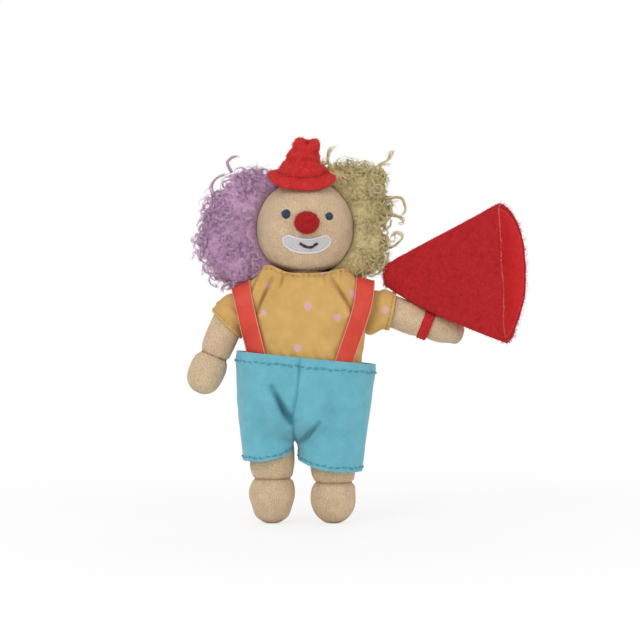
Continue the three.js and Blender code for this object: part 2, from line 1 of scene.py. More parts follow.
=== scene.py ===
# A pocket clown doll, dressed round the frame of its mechanical model.
# Lengths in the design functions are millimetres, measured from the middle of the head in X and Y
# and from the ground in Z. place() turns them into metres in the frame.
# The doll faces -Y, so its left side lies at +X.
import math
from collections import namedtuple

import bmesh
import bpy
import numpy as np
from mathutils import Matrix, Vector, noise
from mathutils.bvhtree import BVHTree


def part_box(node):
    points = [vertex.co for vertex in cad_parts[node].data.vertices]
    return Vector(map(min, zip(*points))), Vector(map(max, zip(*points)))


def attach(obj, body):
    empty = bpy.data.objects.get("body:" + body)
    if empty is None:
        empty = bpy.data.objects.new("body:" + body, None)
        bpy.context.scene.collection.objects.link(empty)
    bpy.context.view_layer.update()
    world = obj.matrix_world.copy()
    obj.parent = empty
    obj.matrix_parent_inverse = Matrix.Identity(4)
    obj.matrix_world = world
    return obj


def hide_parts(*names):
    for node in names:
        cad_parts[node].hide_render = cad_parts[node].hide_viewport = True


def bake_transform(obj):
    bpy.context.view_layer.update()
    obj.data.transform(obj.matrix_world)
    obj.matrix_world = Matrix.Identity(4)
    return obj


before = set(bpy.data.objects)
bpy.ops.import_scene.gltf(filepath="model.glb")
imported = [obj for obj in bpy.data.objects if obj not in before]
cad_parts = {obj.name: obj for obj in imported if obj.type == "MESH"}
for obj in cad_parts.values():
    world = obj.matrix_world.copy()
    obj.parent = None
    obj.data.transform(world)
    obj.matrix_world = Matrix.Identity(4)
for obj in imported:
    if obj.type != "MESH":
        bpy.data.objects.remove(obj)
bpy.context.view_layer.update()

MM = 0.001
HEAD_R = 17.6
HEAD_LOW, HEAD_HIGH = (Vector(corner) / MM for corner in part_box("head_skin"))
HEAD = np.array([0.0, 0.0, HEAD_HIGH.z - HEAD_R])
ORIGIN = np.array([(HEAD_LOW.x + HEAD_HIGH.x) / 2, (HEAD_LOW.y + HEAD_HIGH.y) / 2, 0.0])
SIDES = ("right", "left")
OUTWARD = {"right": -1, "left": 1}
LEVEL = np.array([1, 1, 0])  # takes the height out of points


def place(points):
    """Millimetres from the doll's middle to metres in the frame."""
    return (np.asarray(points, dtype=float) + ORIGIN) * MM


# Small maths

def unit(v):
    v = np.asarray(v, dtype=float)
    return v / np.linalg.norm(v)


def unit_rows(v):
    return v / np.maximum(np.linalg.norm(v, axis=-1, keepdims=True), 1e-9)


def full_turn(count):
    """Evenly spaced angles once round."""
    return np.linspace(0, 2 * math.pi, count, endpoint=False)


def bump_at(value, middle, width):
    """1 where value is at the middle, falling smoothly to 0 about two widths away."""
    return np.exp(-((value - middle) / width) ** 2)


def smoothstep(low, high, value):
    t = np.clip((value - low) / (high - low), 0, 1)
    return t * t * (3 - 2 * t)


def run_along(path):
    """How far along a path each of its points lies."""
    return np.concatenate([[0], np.cumsum(np.linalg.norm(np.diff(path, axis=0), axis=1))])


def stretch_of(path, run, low, high, count):
    """Evenly spaced points of a path between two distances along it."""
    at = np.linspace(low, high, count)
    return np.stack([np.interp(at, run, path[:, i]) for i in range(3)], axis=-1)


def look_up(value, table):
    """The second number of a table's rows, drawn in between them by the first."""
    return np.interp(value, *np.array(table).T)


def spline(points, count):
    """A smooth curve through a few points of any dimension, evenly sampled by the root of its chords."""
    points = np.asarray(points, dtype=float)
    chords = np.linalg.norm(np.diff(points, axis=0), axis=1)
    knots = np.concatenate([[0], np.cumsum(np.sqrt(chords))])
    slopes = np.gradient(points, knots, axis=0)
    at = np.linspace(0, knots[-1], count)
    i = np.clip(np.searchsorted(knots, at, side="right") - 1, 0, len(knots) - 2)
    span = (knots[i + 1] - knots[i])[:, None]
    t = ((at - knots[i]) / span[:, 0])[:, None]
    h00, h10 = 2 * t**3 - 3 * t**2 + 1, t**3 - 2 * t**2 + t
    h01, h11 = -2 * t**3 + 3 * t**2, t**3 - t**2
    return h00 * points[i] + h10 * span * slopes[i] + h01 * points[i + 1] + h11 * span * slopes[i + 1]


def wobble(points, scale, seed=0.0):
    """Smooth noise from -1 to 1 at each point, with features about scale millimetres across."""
    flat = np.asarray(points).reshape(-1, 3) / scale + seed
    values = [noise.noise(Vector(p)) for p in flat]
    return np.array(values).reshape(np.asarray(points).shape[:-1])


def unevenness(points, *waves):
    """How far points stand out by waves of smooth noise, each a size, a seed and a depth."""
    return sum(depth * wobble(points, size, seed) for size, seed, depth in waves)


def groove(points, a, b, width):
    """How near points lie to a crease from a to b, seen from the front: 1 in the crease, 0 well away."""
    a, b = np.array(a, dtype=float), np.array(b, dtype=float)
    flat = np.asarray(points)[..., [0, 2]]
    share = np.clip(((flat - a) @ (b - a)) / ((b - a) @ (b - a)), 0, 1)
    gap = np.linalg.norm(flat - (a + share[..., None] * (b - a)), axis=-1)
    fading = 0.35 + 0.65 * np.sin(math.pi * np.clip(share, 0.08, 0.92))
    return bump_at(gap, 0, width) * fading


def creases_at(points, creases):
    """How far cloth is drawn in at points by creases, each a start, an end, a width and a depth."""
    return sum(depth * groove(points, a, b, width) for a, b, width, depth in creases)


# Meshes

MOST_FACES_TURNED = 60000  # larger meshes are built with their faces outwards


def unwrapped(mesh, corners):
    """Cloth coordinates of face corners, where faces that close a ring run on past its end."""
    starts = np.zeros(len(mesh.polygons), dtype=np.int32)
    mesh.polygons.foreach_get("loop_start", starts)
    totals = np.diff(np.append(starts, len(corners)))
    across = corners[:, 0]
    widest = across.max()
    closing = np.maximum.reduceat(across, starts) - np.minimum.reduceat(across, starts) > widest / 2
    step = np.diff(np.unique(np.round(across, 4)))[-1]
    across[np.repeat(closing, totals) & (across < widest / 4)] += widest + step
    return corners


def finish_mesh(name, verts, faces, material, uvs=None, smooth=True):
    """An object from points in millimetres, with cloth coordinates where they are given."""
    mesh = bpy.data.meshes.new(name)
    mesh.from_pydata([tuple(v) for v in place(verts)], [], [tuple(int(i) for i in f) for f in faces])
    mesh.validate()
    if len(faces) < MOST_FACES_TURNED:
        shape = bmesh.new()
        shape.from_mesh(mesh)
        bmesh.ops.recalc_face_normals(shape, faces=shape.faces)
        shape.to_mesh(mesh)
        shape.free()
    mesh.materials.append(material)
    if smooth:
        mesh.polygons.foreach_set("use_smooth", [True] * len(mesh.polygons))
    if uvs is not None:
        layer = mesh.uv_layers.new(name="cloth")
        loops = np.zeros(len(mesh.loops), dtype=np.int32)
        mesh.loops.foreach_get("vertex_index", loops)
        layer.data.foreach_set("uv", unwrapped(mesh, np.asarray(uvs, dtype=float)[loops]).ravel())
    mesh.update()
    obj = bpy.data.objects.new(name, mesh)
    bpy.context.scene.collection.objects.link(obj)
    return obj


def grid_faces(rows, cols, wrap):
    """Faces between the rows of a grid of points, closed round each row where wrap is true."""
    faces = []
    for a in range(0, (rows - 1) * cols, cols):
        b = a + cols
        for j in range(cols if wrap else cols - 1):
            k = (j + 1) % cols
            faces.append((a + j, a + k, b + k, b + j))
    return faces


def grid_uvs(points, around=None):
    """Cloth coordinates in millimetres: along each row and down the rows. Around is the length of a row,
    where the rows shrink to a point."""
    rows, cols = points.shape[:2]
    if around is None:
        across = run_along(points[rows // 2])
    else:
        across = np.arange(cols) / cols * around
    u, v = np.meshgrid(across, run_along(points.mean(axis=1)))
    return np.stack([u, v], axis=-1).reshape(-1, 2)


def closed_body(name, rings, material, uvs=None):
    """A closed skin through rings of points, with its two ends drawn to their middles."""
    rings = np.asarray(rings)
    rows, cols = rings.shape[:2]
    verts = np.concatenate([rings.reshape(-1, 3), [rings[0].mean(axis=0), rings[-1].mean(axis=0)]])
    faces = grid_faces(rows, cols, True)
    top, foot = rows * cols, rows * cols + 1
    for j in range(cols):
        k = (j + 1) % cols
        faces.append((top, k, j))
        faces.append((foot, (rows - 1) * cols + j, (rows - 1) * cols + k))
    uvs = grid_uvs(rings) if uvs is None else uvs
    uvs = np.concatenate([uvs, [uvs[0], uvs[-1]]])
    return finish_mesh(name, verts, faces, material, uvs)


def closed_loop(name, rings, material, with_uvs=True):
    """A skin through rings of points, the last of which is the first again."""
    faces = grid_faces(len(rings), rings.shape[1], True)
    return finish_mesh(name, rings.reshape(-1, 3), faces, material, grid_uvs(rings) if with_uvs else None)


def cloth_sheet(name, points, thickness, material, wrap=False):
    """A grid of cloth with a real thickness in millimetres, its given points on the outside."""
    points = np.asarray(points)
    rows, cols = points.shape[:2]
    obj = finish_mesh(name, points.reshape(-1, 3), grid_faces(rows, cols, wrap), material, grid_uvs(points))
    wall = obj.modifiers.new("thickness", "SOLIDIFY")
    wall.thickness = thickness * MM
    wall.offset = -1
    return obj


def round_edges(obj, width):
    """Takes the sharp corner off the cut edges of a cloth."""
    edge = obj.modifiers.new("edge", "BEVEL")
    edge.width = width * MM
    edge.segments = 2
    edge.limit_method = "ANGLE"


def tube(path, radius, sides=6):
    """Vertices and faces of a closed round tube along a path, radius given for each point or once."""
    path = np.asarray(path, dtype=float)
    count = len(path)
    radii = np.broadcast_to(radius, count)
    tangents = unit_rows(np.gradient(path, axis=0))
    side = unit(np.cross(tangents[0], [0.3, 0.5, 0.81]))
    sides_at = []
    for tangent in tangents:
        side = side - tangent * side.dot(tangent)
        side /= max(np.linalg.norm(side), 1e-9)
        sides_at.append(side)
    sides_at = np.array(sides_at)
    others = np.cross(tangents, sides_at)
    angles = full_turn(sides)
    ring = np.cos(angles)[None, :, None] * sides_at[:, None] + np.sin(angles)[None, :, None] * others[:, None]
    verts = (path[:, None] + ring * radii[:, None, None]).reshape(-1, 3)
    faces = grid_faces(count, sides, True)
    faces.append(tuple(range(sides - 1, -1, -1)))
    faces.append(tuple((count - 1) * sides + j for j in range(sides)))
    return verts, faces


class Threads:
    """Many threads or fibres gathered into one mesh."""

    def __init__(self):
        self.verts, self.faces, self.count = [], [], 0

    def add(self, path, radius, sides=6):
        verts, faces = tube(path, radius, sides)
        self.verts.append(verts)
        self.faces += [tuple(i + self.count for i in face) for face in faces]
        self.count += len(verts)

    def build(self, name, material, smooth=True):
        return finish_mesh(name, np.concatenate(self.verts), self.faces, material, None, smooth)


def single_thread(name, path, radius, material, sides=6):
    threads = Threads()
    threads.add(path, radius, sides)
    return threads.build(name, material)


def mark(obj, name, rule):
    """Stores the value that a rule gives for each point of a cloth, where the cloth's material finds it."""
    mesh = obj.data
    co = np.zeros(len(mesh.vertices) * 3)
    mesh.vertices.foreach_get("co", co)
    values = rule(co.reshape(-1, 3) / MM - ORIGIN)
    layer = mesh.attributes.new(name, "FLOAT", "POINT")
    layer.data.foreach_set("value", values.astype(np.float32))


def mark_crease_shade(obj, creases, behind=0.0):
    """Marks how deep in a crease each point lies, at a lesser share behind, for the shade that the cloth's
    material paints there.
    """
    def deep(points):
        return np.clip(creases_at(points, creases), 0, 1) * np.where(points[:, 1] < 0, 1.0, behind)
    mark(obj, "crease", deep)


def surface_samples(obj, seed, count=6000):
    """Points and outward normals of a mesh, in the doll's own millimetres, spread evenly over its area."""
    mesh = obj.data
    rng = np.random.default_rng(seed)
    areas = np.array([p.area for p in mesh.polygons])
    points, normals = [], []
    for i in rng.choice(len(areas), size=count, p=areas / areas.sum()):
        polygon = mesh.polygons[i]
        corners = np.array([mesh.vertices[v].co for v in polygon.vertices]) / MM - ORIGIN
        points.append(rng.dirichlet(np.ones(len(corners))) @ corners)
        normals.append(np.array(polygon.normal))
    return np.array(points), np.array(normals)


def dress(obj, body, *nodes, slot):
    """Makes a piece ride on a body and stand in for nodes of the model."""
    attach(obj, body)
    if nodes:
        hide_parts(*nodes)
    return obj


def bend_between(obj, upper, lower, start, end, *nodes, slot):
    """Bakes a soft piece's placing into its mesh and makes it stand in for nodes of the model. The two bodies
    and the two places in millimetres that it is given are not used.
    """
    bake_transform(obj)
    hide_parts(*nodes)


# Materials

def linear(r, g, b):
    """A colour as the eye sees it, from 0 to 255, as the amounts of light that Blender adds up."""
    def one(c):
        c /= 255
        return c / 12.92 if c <= 0.04045 else ((c + 0.055) / 1.055) ** 2.4
    return (one(r), one(g), one(b), 1.0)


def set_inputs(tree, node, inputs):
    """Fills a node's inputs with numbers, colours as (red, green, blue) or the outputs of other nodes."""
    for key, value in inputs.items():
        if isinstance(value, bpy.types.NodeSocket):
            tree.links.new(value, node.inputs[key])
        elif isinstance(value, tuple):
            node.inputs[key].default_value = linear(*value)
        else:
            node.inputs[key].default_value = value


def add_node(tree, kind, inputs=None, **settings):
    node = tree.nodes.new("ShaderNode" + kind)
    for key, value in settings.items():
        setattr(node, key, value)
    set_inputs(tree, node, inputs or {})
    return node


WAVES_TO_A_UNIT = 20  # how Blender's wave texture counts


class Shader:
    """A principled material whose colour and bump are built from procedural textures."""

    def __init__(self, name, roughness, sheen=0.0, sheen_tint=(255, 255, 255), shine=0.25):
        self.material = bpy.data.materials.new(name)
        self.material.use_nodes = True
        self.tree = self.material.node_tree
        self.shader = self.tree.nodes["Principled BSDF"]
        set_inputs(self.tree, self.shader, {
            "Roughness": roughness, "Sheen Weight": sheen, "Sheen Roughness": 0.5, "Sheen Tint": sheen_tint,
            "Specular IOR Level": shine})
        self.coords = self.node("TexCoord")
        self.normal = None

    def node(self, kind, inputs=None, **settings):
        return add_node(self.tree, kind, inputs, **settings)

    def scaled(self, space, scale=1.0):
        vector = self.coords.outputs[space]
        return self.node("Mapping", {"Vector": vector, "Scale": [scale] * 3}).outputs["Vector"]

    def noise(self, size, detail=3.0, distortion=0.0):
        """Noise with features about size millimetres across."""
        inputs = {"Vector": self.scaled("Object", 1 / (size * MM)), "Scale": 1.0, "Detail": detail,
                  "Distortion": distortion}
        return self.node("TexNoise", inputs).outputs["Fac"]

    def stripes(self, period, direction, coords, bend=0.0):
        """Rounded ridges with the given period along X or Y of the coordinates, or between the two."""
        inputs = {"Vector": coords, "Scale": 2 * math.pi / (WAVES_TO_A_UNIT * period), "Distortion": bend,
                  "Detail": 2.0, "Detail Scale": 1.5}
        return self.node("TexWave", inputs, wave_type="BANDS", bands_direction=direction).outputs["Fac"]

    def maths(self, operation, *values):
        return self.node("Math", dict(enumerate(values)), operation=operation).outputs["Value"]

    def remap(self, value, low, high, to_low=0.0, to_high=1.0):
        """A value stretched from one range to another, and held at its ends."""
        inputs = {"Value": value, "From Min": low, "From Max": high, "To Min": to_low, "To Max": to_high}
        return self.node("MapRange", inputs).outputs["Result"]

    def mix(self, factor, first, second):
        """The first colour, with a share of the second by the factor."""
        return self.node("Mix", {0: factor, 6: first, 7: second}, data_type="RGBA").outputs[2]

    def attribute(self, name):
        return self.node("Attribute", attribute_name=name).outputs["Fac"]

    def colour(self, source):
        self.tree.links.new(source, self.shader.inputs["Base Color"])

    def bump(self, height, depth):
        """Bump whose full range of height stands for depth millimetres, on top of the bump so far."""
        inputs = {"Height": height, "Distance": depth * MM, "Strength": 1.0}
        if self.normal is not None:
            inputs["Normal"] = self.normal
        self.normal = self.node("Bump", inputs).outputs["Normal"]
        self.tree.links.new(self.normal, self.shader.inputs["Normal"])


WALE = 0.6  # one rib of the jersey
COURSE = 0.46  # one row of its stitches
SHIRT_YARN = 0.34
SHORTS_YARN = 0.4


def knit_material():
    s = Shader("ribbed jersey", 0.85, 0.35, (255, 240, 220))
    cloth = s.scaled("UV")
    wales = s.stripes(WALE, "X", cloth, bend=2.6)
    courses = s.stripes(COURSE, "Y", cloth, bend=2.2)
    mottled = s.noise(3.5, 3)
    pits = s.noise(0.42, 2)
    tone = s.mix(s.remap(mottled, 0.3, 0.7), (219, 189, 153), (235, 208, 172))
    tone = s.mix(s.remap(wales, 0.0, 0.55, 0.3, 0.0), tone, (166, 130, 96))
    tone = s.mix(s.remap(courses, 0.0, 0.4, 0.22, 0.0), tone, (158, 122, 88))
    tone = s.mix(s.remap(pits, 0.28, 0.46, 0.5, 0.0), tone, (150, 112, 78))
    s.colour(s.mix(s.remap(pits, 0.54, 0.72, 0.0, 0.45), tone, (250, 232, 200)))
    s.bump(wales, 0.16)
    s.bump(courses, 0.08)
    s.bump(pits, 0.07)
    return s.material


def shirt_material():
    s = Shader("mustard cotton", 0.9, 0.25, (255, 235, 190))
    cloth = s.scaled("UV")
    warp = s.stripes(SHIRT_YARN, "X", cloth, bend=0.7)
    weft = s.stripes(SHIRT_YARN, "Y", cloth, bend=0.7)
    weave = s.maths("MULTIPLY", warp, weft)
    tone = s.mix(s.remap(s.noise(5, 3), 0.3, 0.7), (214, 172, 98), (228, 188, 116))
    tone = s.mix(s.remap(weave, 0.0, 0.5, 0.28, 0.0), tone, (158, 112, 56))
    ragged = s.maths("MULTIPLY", s.maths("SUBTRACT", s.noise(0.5, 2), 0.5), 0.35)
    distance = s.maths("ADD", s.attribute("dot"), ragged)
    pink = s.mix(s.remap(weave, 0.0, 0.5, 0.22, 0.0), (226, 178, 188), (190, 138, 146))
    printed = s.mix(s.remap(distance, -0.2, 0.2, 0.9, 0.0), tone, pink)
    # Painted shade: the cloth darkens towards deep brown by how deep in a crease it lies.
    s.colour(s.mix(s.remap(s.attribute("crease"), 0.05, 0.8, 0.0, 0.95), printed, (148, 96, 40)))
    s.bump(weave, 0.09)
    s.bump(s.noise(0.3, 2), 0.04)
    return s.material


def shorts_material():
    s = Shader("turquoise cotton", 0.92, 0.45, (220, 245, 255))
    cloth = s.scaled("UV")
    twill = s.stripes(SHORTS_YARN, "DIAGONAL", cloth, bend=0.9)
    soft = s.noise(4.0, 4)
    fluff = s.noise(0.35, 3)
    tone = s.mix(s.remap(soft, 0.3, 0.7), (94, 168, 185), (107, 181, 197))
    tone = s.mix(s.remap(fluff, 0.42, 0.62, 0.0, 0.3), tone, (132, 198, 210))
    woven = s.mix(s.remap(twill, 0.0, 0.5, 0.14, 0.0), tone, (74, 138, 152))
    # Painted shade: the cloth darkens towards deep teal by how deep in a crease or the seam it lies.
    s.colour(s.mix(s.remap(s.attribute("crease"), 0.05, 0.9, 0.0, 0.8), woven, (38, 108, 124)))
    s.bump(twill, 0.05)
    s.bump(fluff, 0.12)
    return s.material


def felt_material(name, low, high, light, depth=0.25):
    s = Shader(name, 0.95, 0.5, light)
    fibres = s.noise(0.28, 4, distortion=1.5)
    clumps = s.noise(1.4, 4, distortion=0.8)
    tone = s.mix(s.remap(clumps, 0.3, 0.7), low, high)
    s.colour(s.mix(s.remap(fibres, 0.5, 0.7, 0.0, 0.35), tone, light))
    s.bump(clumps, depth)
    s.bump(fibres, 0.12)
    return s.material


def ribbon_material():
    s = Shader("orange-red ribbon", 0.42, 0.0)
    grain = s.noise(0.3, 3)
    tone = s.mix(s.remap(s.noise(6, 2), 0.35, 0.65), (202, 62, 46), (213, 74, 57))
    s.colour(s.mix(s.remap(grain, 0.55, 0.7, 0.0, 0.2), tone, (232, 118, 98)))
    s.bump(grain, 0.03)
    return s.material


def curl_material(name, dark, middle, light):
    s = Shader(name, 0.75, 0.3, light)
    strand = s.noise(2.6, 2)
    tone = s.mix(s.remap(strand, 0.3, 0.55), dark, middle)
    s.colour(s.mix(s.remap(s.noise(1.1, 2), 0.48, 0.7), tone, light))
    s.bump(s.noise(0.12, 2), 0.05)
    return s.material


def thread_material(name, low, high, roughness=0.5, period=0.24):
    s = Shader(name, roughness, 0.2, high)
    strands = s.stripes(period, "DIAGONAL", s.scaled("Object", 1 / MM), 1.5)
    s.colour(s.mix(strands, low, high))
    s.bump(strands, 0.08)
    return s.material


KNIT = knit_material()
SHIRT = shirt_material()
SHORTS = shorts_material()
RIBBON = ribbon_material()
FELT = felt_material("red felt", (182, 34, 36), (204, 47, 46), (226, 88, 82))
CONE_FELT = felt_material("deep red felt", (166, 24, 30), (183, 33, 38), (206, 66, 66))
LINING = felt_material("lining felt", (214, 38, 44), (226, 50, 52), (236, 84, 80), 0.1)
# The megaphone's cut edge and its fibres in a paler felt: a painted highlight along the edge.
FELT_EDGE_HIGHLIGHT = felt_material("felt edge with painted highlight", (206, 78, 72), (222, 100, 92), (238, 140, 128), 0.2)
NOSE = felt_material("nose felt", (158, 24, 30), (180, 34, 38), (206, 66, 66))
ELASTIC = felt_material("ribbed elastic", (176, 28, 36), (198, 44, 48), (216, 78, 76), 0.1)
THREAD = thread_material("beige thread", (168, 132, 100), (200, 168, 136))
BLUE_THREAD = thread_material("blue thread", (62, 134, 150), (104, 172, 186))
MUSTARD_THREAD = thread_material("mustard thread", (170, 124, 64), (214, 172, 104))
SELVEDGE = thread_material("ribbon selvedge", (214, 112, 92), (240, 166, 146), 0.5, 0.4)
EYE = thread_material("eye thread", (26, 44, 66), (66, 92, 118), 0.35, 0.3)
WHITE = thread_material("white satin stitch", (196, 193, 194), (222, 220, 222), 0.5, 0.3)
BORDER = thread_material("white border stitch", (214, 213, 219), (240, 239, 244), 0.5, 0.35)
SMILE = thread_material("dark thread", (48, 26, 28), (84, 52, 50), 0.5, 0.4)
LILAC = curl_material("lilac curls", (196, 154, 190), (216, 178, 210), (234, 206, 229))
# Darker copies of the curl colours for the mass under the curls: painted shade.
LILAC_PAINTED_SHADE = curl_material("lilac curls in painted shade", (168, 126, 160), (190, 150, 184), (208, 172, 202))
STRAW_PAINTED_SHADE = curl_material("straw curls in painted shade", (178, 160, 110), (202, 185, 134), (220, 205, 158))
STRAW = curl_material("straw curls", (204, 187, 130), (224, 208, 154), (238, 228, 188))


# Head and face

HEAD_FLAT = 0.06  # how much the head is flattened where it sits on the neck
# Thickness of the padding and width of the threads of satin stitch.
EYE_STITCH = (0.55, 0.34)
MOUTH_STITCH = (0.36, 0.36)
BORDER_R = 0.32
SMILE_R = 0.5
# Middle of each eye from the middle of the head, across and up, and its radius.
EYES = {"right": (-6.6, 4.25, 1.46), "left": (8.65, 3.5, 1.26)}
NOSE_AT = (0.8, 0.95)
NOSE_SIZE = (4.25, 3.5, 3.85)
NOSE_OUT = 2.0  # how far the middle of the nose stands out of the face
NOSE_FUZZ = (0.8, 0.035, 1300)
MOUTH_TOP = [(-7.6, -4.4), (-5.9, -3.4), (-2.3, -4.3), (0.7, -4.7), (3.9, -4.3), (7.4, -3.4), (9.0, -4.5)]
MOUTH_FOOT = [(9.0, -4.5), (8.7, -6.1), (6.4, -8.2), (3.5, -9.1), (0.7, -9.3), (-2.0, -9.1), (-5.0, -8.1),
              (-7.2, -6.2), (-7.6, -4.4)]
SMILE_LINE = [(-1.7, -6.0), (-0.7, -6.6), (0.9, -7.3), (2.7, -7.2), (3.4, -6.6), (4.5, -6.0)]


def head_surface(direction, out=0.0):
    """The point of the head's skin in a direction from its middle, out millimetres proud of it."""
    d = unit(direction)
    flat = 1 - HEAD_FLAT * smoothstep(-0.75, -1.0, d[2])
    return HEAD + d * (HEAD_R * flat + out)


def on_face(x, z, out=0.0):
    """The point of the face seen from the front at x and z millimetres from the middle of the head."""
    y = -math.sqrt(max(HEAD_R**2 - x * x - z * z, 0.5))
    return head_surface((x, y, z), out)


def make_head():
    rows, cols = 72, 128
    tilts = np.linspace(0.02, math.pi - 0.02, rows)
    rings = np.array([[head_surface((math.sin(t) * math.sin(a), -math.sin(t) * math.cos(a), math.cos(t)))
                       for a in full_turn(cols)] for t in tilts])
    bulge = unevenness(rings, (9, 3.1, 0.22), (3.5, 7.7, 0.07))
    rings += (rings - HEAD) / HEAD_R * bulge[..., None]
    local = (rings - HEAD) / HEAD_R
    u = np.arcsin(np.clip(local[..., 0], -1, 1)) * HEAD_R
    v = np.arctan2(local[..., 2], -local[..., 1]) * HEAD_R
    head = closed_body("head", rings, KNIT, np.stack([u, v], axis=-1).reshape(-1, 2))
    dress(head, "head", "head_skin", "head_stuffing", slot="knit")


def crossings_of(outline, across, along, offset):
    """Where a straight line at an offset across an outline meets it, as distances along the line."""
    found = []
    for a, b in zip(outline, np.roll(outline, -1, axis=0)):
        before, after = a @ across - offset, b @ across - offset
        if (before < 0) != (after < 0):
            found.append((a + (b - a) * before / (before - after)) @ along)
    return sorted(found)


def satin(name, outline, material, thickness, width, node, slot, angle=90.0):
    """Satin stitch: parallel threads that cross an outline side by side, raised in their middles."""
    outline = np.asarray(outline)
    threads = Threads()
    turn = math.radians(angle)
    along = np.array([math.cos(turn), math.sin(turn)])
    across = np.array([-along[1], along[0]])
    reach = outline @ across
    for offset in np.arange(reach.min() + width / 2, reach.max(), width * 0.86):
        found = crossings_of(outline, across, along, offset)
        for low, high in zip(found[::2], found[1::2]):
            path = []
            for t in np.linspace(0, 1, max(int((high - low) / 0.5), 4)):
                x, z = across * offset + along * (low - 0.1 + (high - low + 0.2) * t)
                lift = thickness * (1 - (2 * t - 1) ** 6) ** 0.5
                path.append(on_face(x, z, lift - width * 0.3))
            threads.add(path, width * 0.56)
    dress(threads.build(name, material), "head", node, slot=slot)


def make_eye(side):
    x, z, radius = EYES[side]
    turns = full_turn(28)
    outline = np.stack([x + radius * np.cos(turns), z + radius * 1.06 * np.sin(turns)], axis=-1)
    satin(f"{side}_eye_stitches", outline, EYE, *EYE_STITCH, f"{side}_eye", "eye_thread", 75)


def make_mouth():
    outline = np.concatenate([spline(MOUTH_TOP, 30)[:-1], spline(MOUTH_FOOT, 40)[:-1]])
    satin("mouth_stitches", outline, WHITE, *MOUTH_STITCH, "mouth_patch", "mouth_white")
    edge = [on_face(x, z, 0.28) for x, z in np.concatenate([outline, outline[:2]])]
    dress(single_thread("mouth_border", edge, BORDER_R, BORDER), "head", slot="mouth_white")
    line = [on_face(x, z, 0.45) for x, z in spline(SMILE_LINE, 18)]
    twist = np.linspace(0, 7 * math.pi, len(line))
    smile = single_thread("smile_stitch", line, SMILE_R + 0.08 * np.cos(twist), SMILE, 8)
    dress(smile, "head", "smile", slot="smile_thread")


def fuzz(name, anchors, normals, material, fibres, seed, body, slot):
    """Short stray fibres that stand out of a felt surface, by their length, thickness and count."""
    length, thickness, count = fibres
    rng = np.random.default_rng(seed)
    threads = Threads()
    for i in rng.integers(0, len(anchors), count):
        start, normal = anchors[i], normals[i]
        tangent = unit(np.cross(normal, rng.normal(size=3)))
        reach = length * rng.uniform(0.4, 1.3)
        lean = rng.uniform(0.3, 1.6)
        mid = start + normal * reach * 0.35 + tangent * reach * lean * 0.35
        tip = start + normal * reach * rng.uniform(0.3, 0.8) + tangent * reach * lean * rng.uniform(0.6, 1.0)
        threads.add([start - normal * 0.1, mid, tip], np.array([1.0, 0.9, 0.35]) * thickness, 3)
    dress(threads.build(name, material, False), body, slot=slot)


def make_nose():
    centre = np.array([NOSE_AT[0], -HEAD_R - NOSE_OUT, HEAD[2] + NOSE_AT[1]])
    rows, cols = 36, 56
    tilts = np.linspace(0.03, math.pi - 0.03, rows)
    size = np.array(NOSE_SIZE)
    rings = np.array([[centre + size * (math.sin(t) * math.cos(a), math.sin(t) * math.sin(a), math.cos(t))
                       for a in full_turn(cols)] for t in tilts])
    rings += (rings - centre) / 4 * (wobble(rings, 1.6, 2.2) * 0.22)[..., None]
    nose = closed_body("nose_ball", rings, NOSE)
    dress(nose, "head", "nose", slot="nose_felt")
    points, normals = surface_samples(nose, 5)
    front = points[:, 1] < -HEAD_R
    fuzz("nose_fuzz", points[front], normals[front], NOSE, NOSE_FUZZ, 11, "head", "nose_felt")


# Limbs

SHOULDER = {"right": np.array([-26.0, 0, 77.5]), "left": np.array([26.5, 0, 78.6])}
ARM_ANGLE = {"right": math.radians(23), "left": math.radians(69.5)}  # from hanging straight down
ARM_TOP = {"right": 0.9, "left": 1.0}  # how full the hidden top of the arm is
ARM_R = 5.8
ELBOW_AT = 18.0  # from the shoulder, where the arm bends
ELBOW_CREASE = 18.1
HAND_SIZE = {"right": 1.03, "left": 0.84}
HAND_TIP = {"right": 1.0, "left": 0.9}
HAND_LIFT = {"right": 0.0, "left": 0.8}  # the left hand is pressed up against the megaphone
HIP = {"right": np.array([-12.0, 0.6, 38.0]), "left": np.array([10.2, 0.6, 38.0])}
ANKLE = {"right": 16.3, "left": 14.9}
LEG_R = 7.9
TIE_R = 0.16
TIE_TURNS = (-0.3, 0.0, 0.3)  # where each turn of a tie lies along the limb
ARM_BEND = 2.4  # half the length about the elbow passed on as the bend, which is not used
LEG_BEND = 2.8
DOWN = np.array([0.0, 0.0, -1.0])


def arm_direction(side):
    return np.array([OUTWARD[side] * math.sin(ARM_ANGLE[side]), 0, -math.cos(ARM_ANGLE[side])])


def ring_about(middle, direction, angles, radius, oval=1.0):
    """A ring square to a direction, its radius given once or for each angle."""
    side = unit(np.cross(direction, (0, 1, 0)))
    front = np.cross(side, direction)
    return middle + np.outer(np.cos(angles) * radius, side) + np.outer(np.sin(angles) * radius * oval, front)


def limb_rings(start, direction, profile, count, around=64, crease=None, seed=0.0, oval=1.0):
    """Rings along a straight limb from a profile of (distance, radius) pairs. Crease is the distance
    of a tied crease, where eleven fine pleats run in towards the thread."""
    angles = full_turn(around)
    rings = []
    for s, r in spline(profile, count):
        pleat = 0 if crease is None else bump_at(s, crease, 2.2)
        radius = max(r, 0.02) * (1 + 0.045 * pleat * np.cos(angles * 11 + 2 * np.sin(angles * 3)))
        rings.append(ring_about(start + direction * s, direction, angles, radius, oval))
    rings = np.array(rings)
    centres = rings.mean(axis=1, keepdims=True)
    return rings + (rings - centres) * (wobble(rings, 6, seed) * 0.035)[..., None]


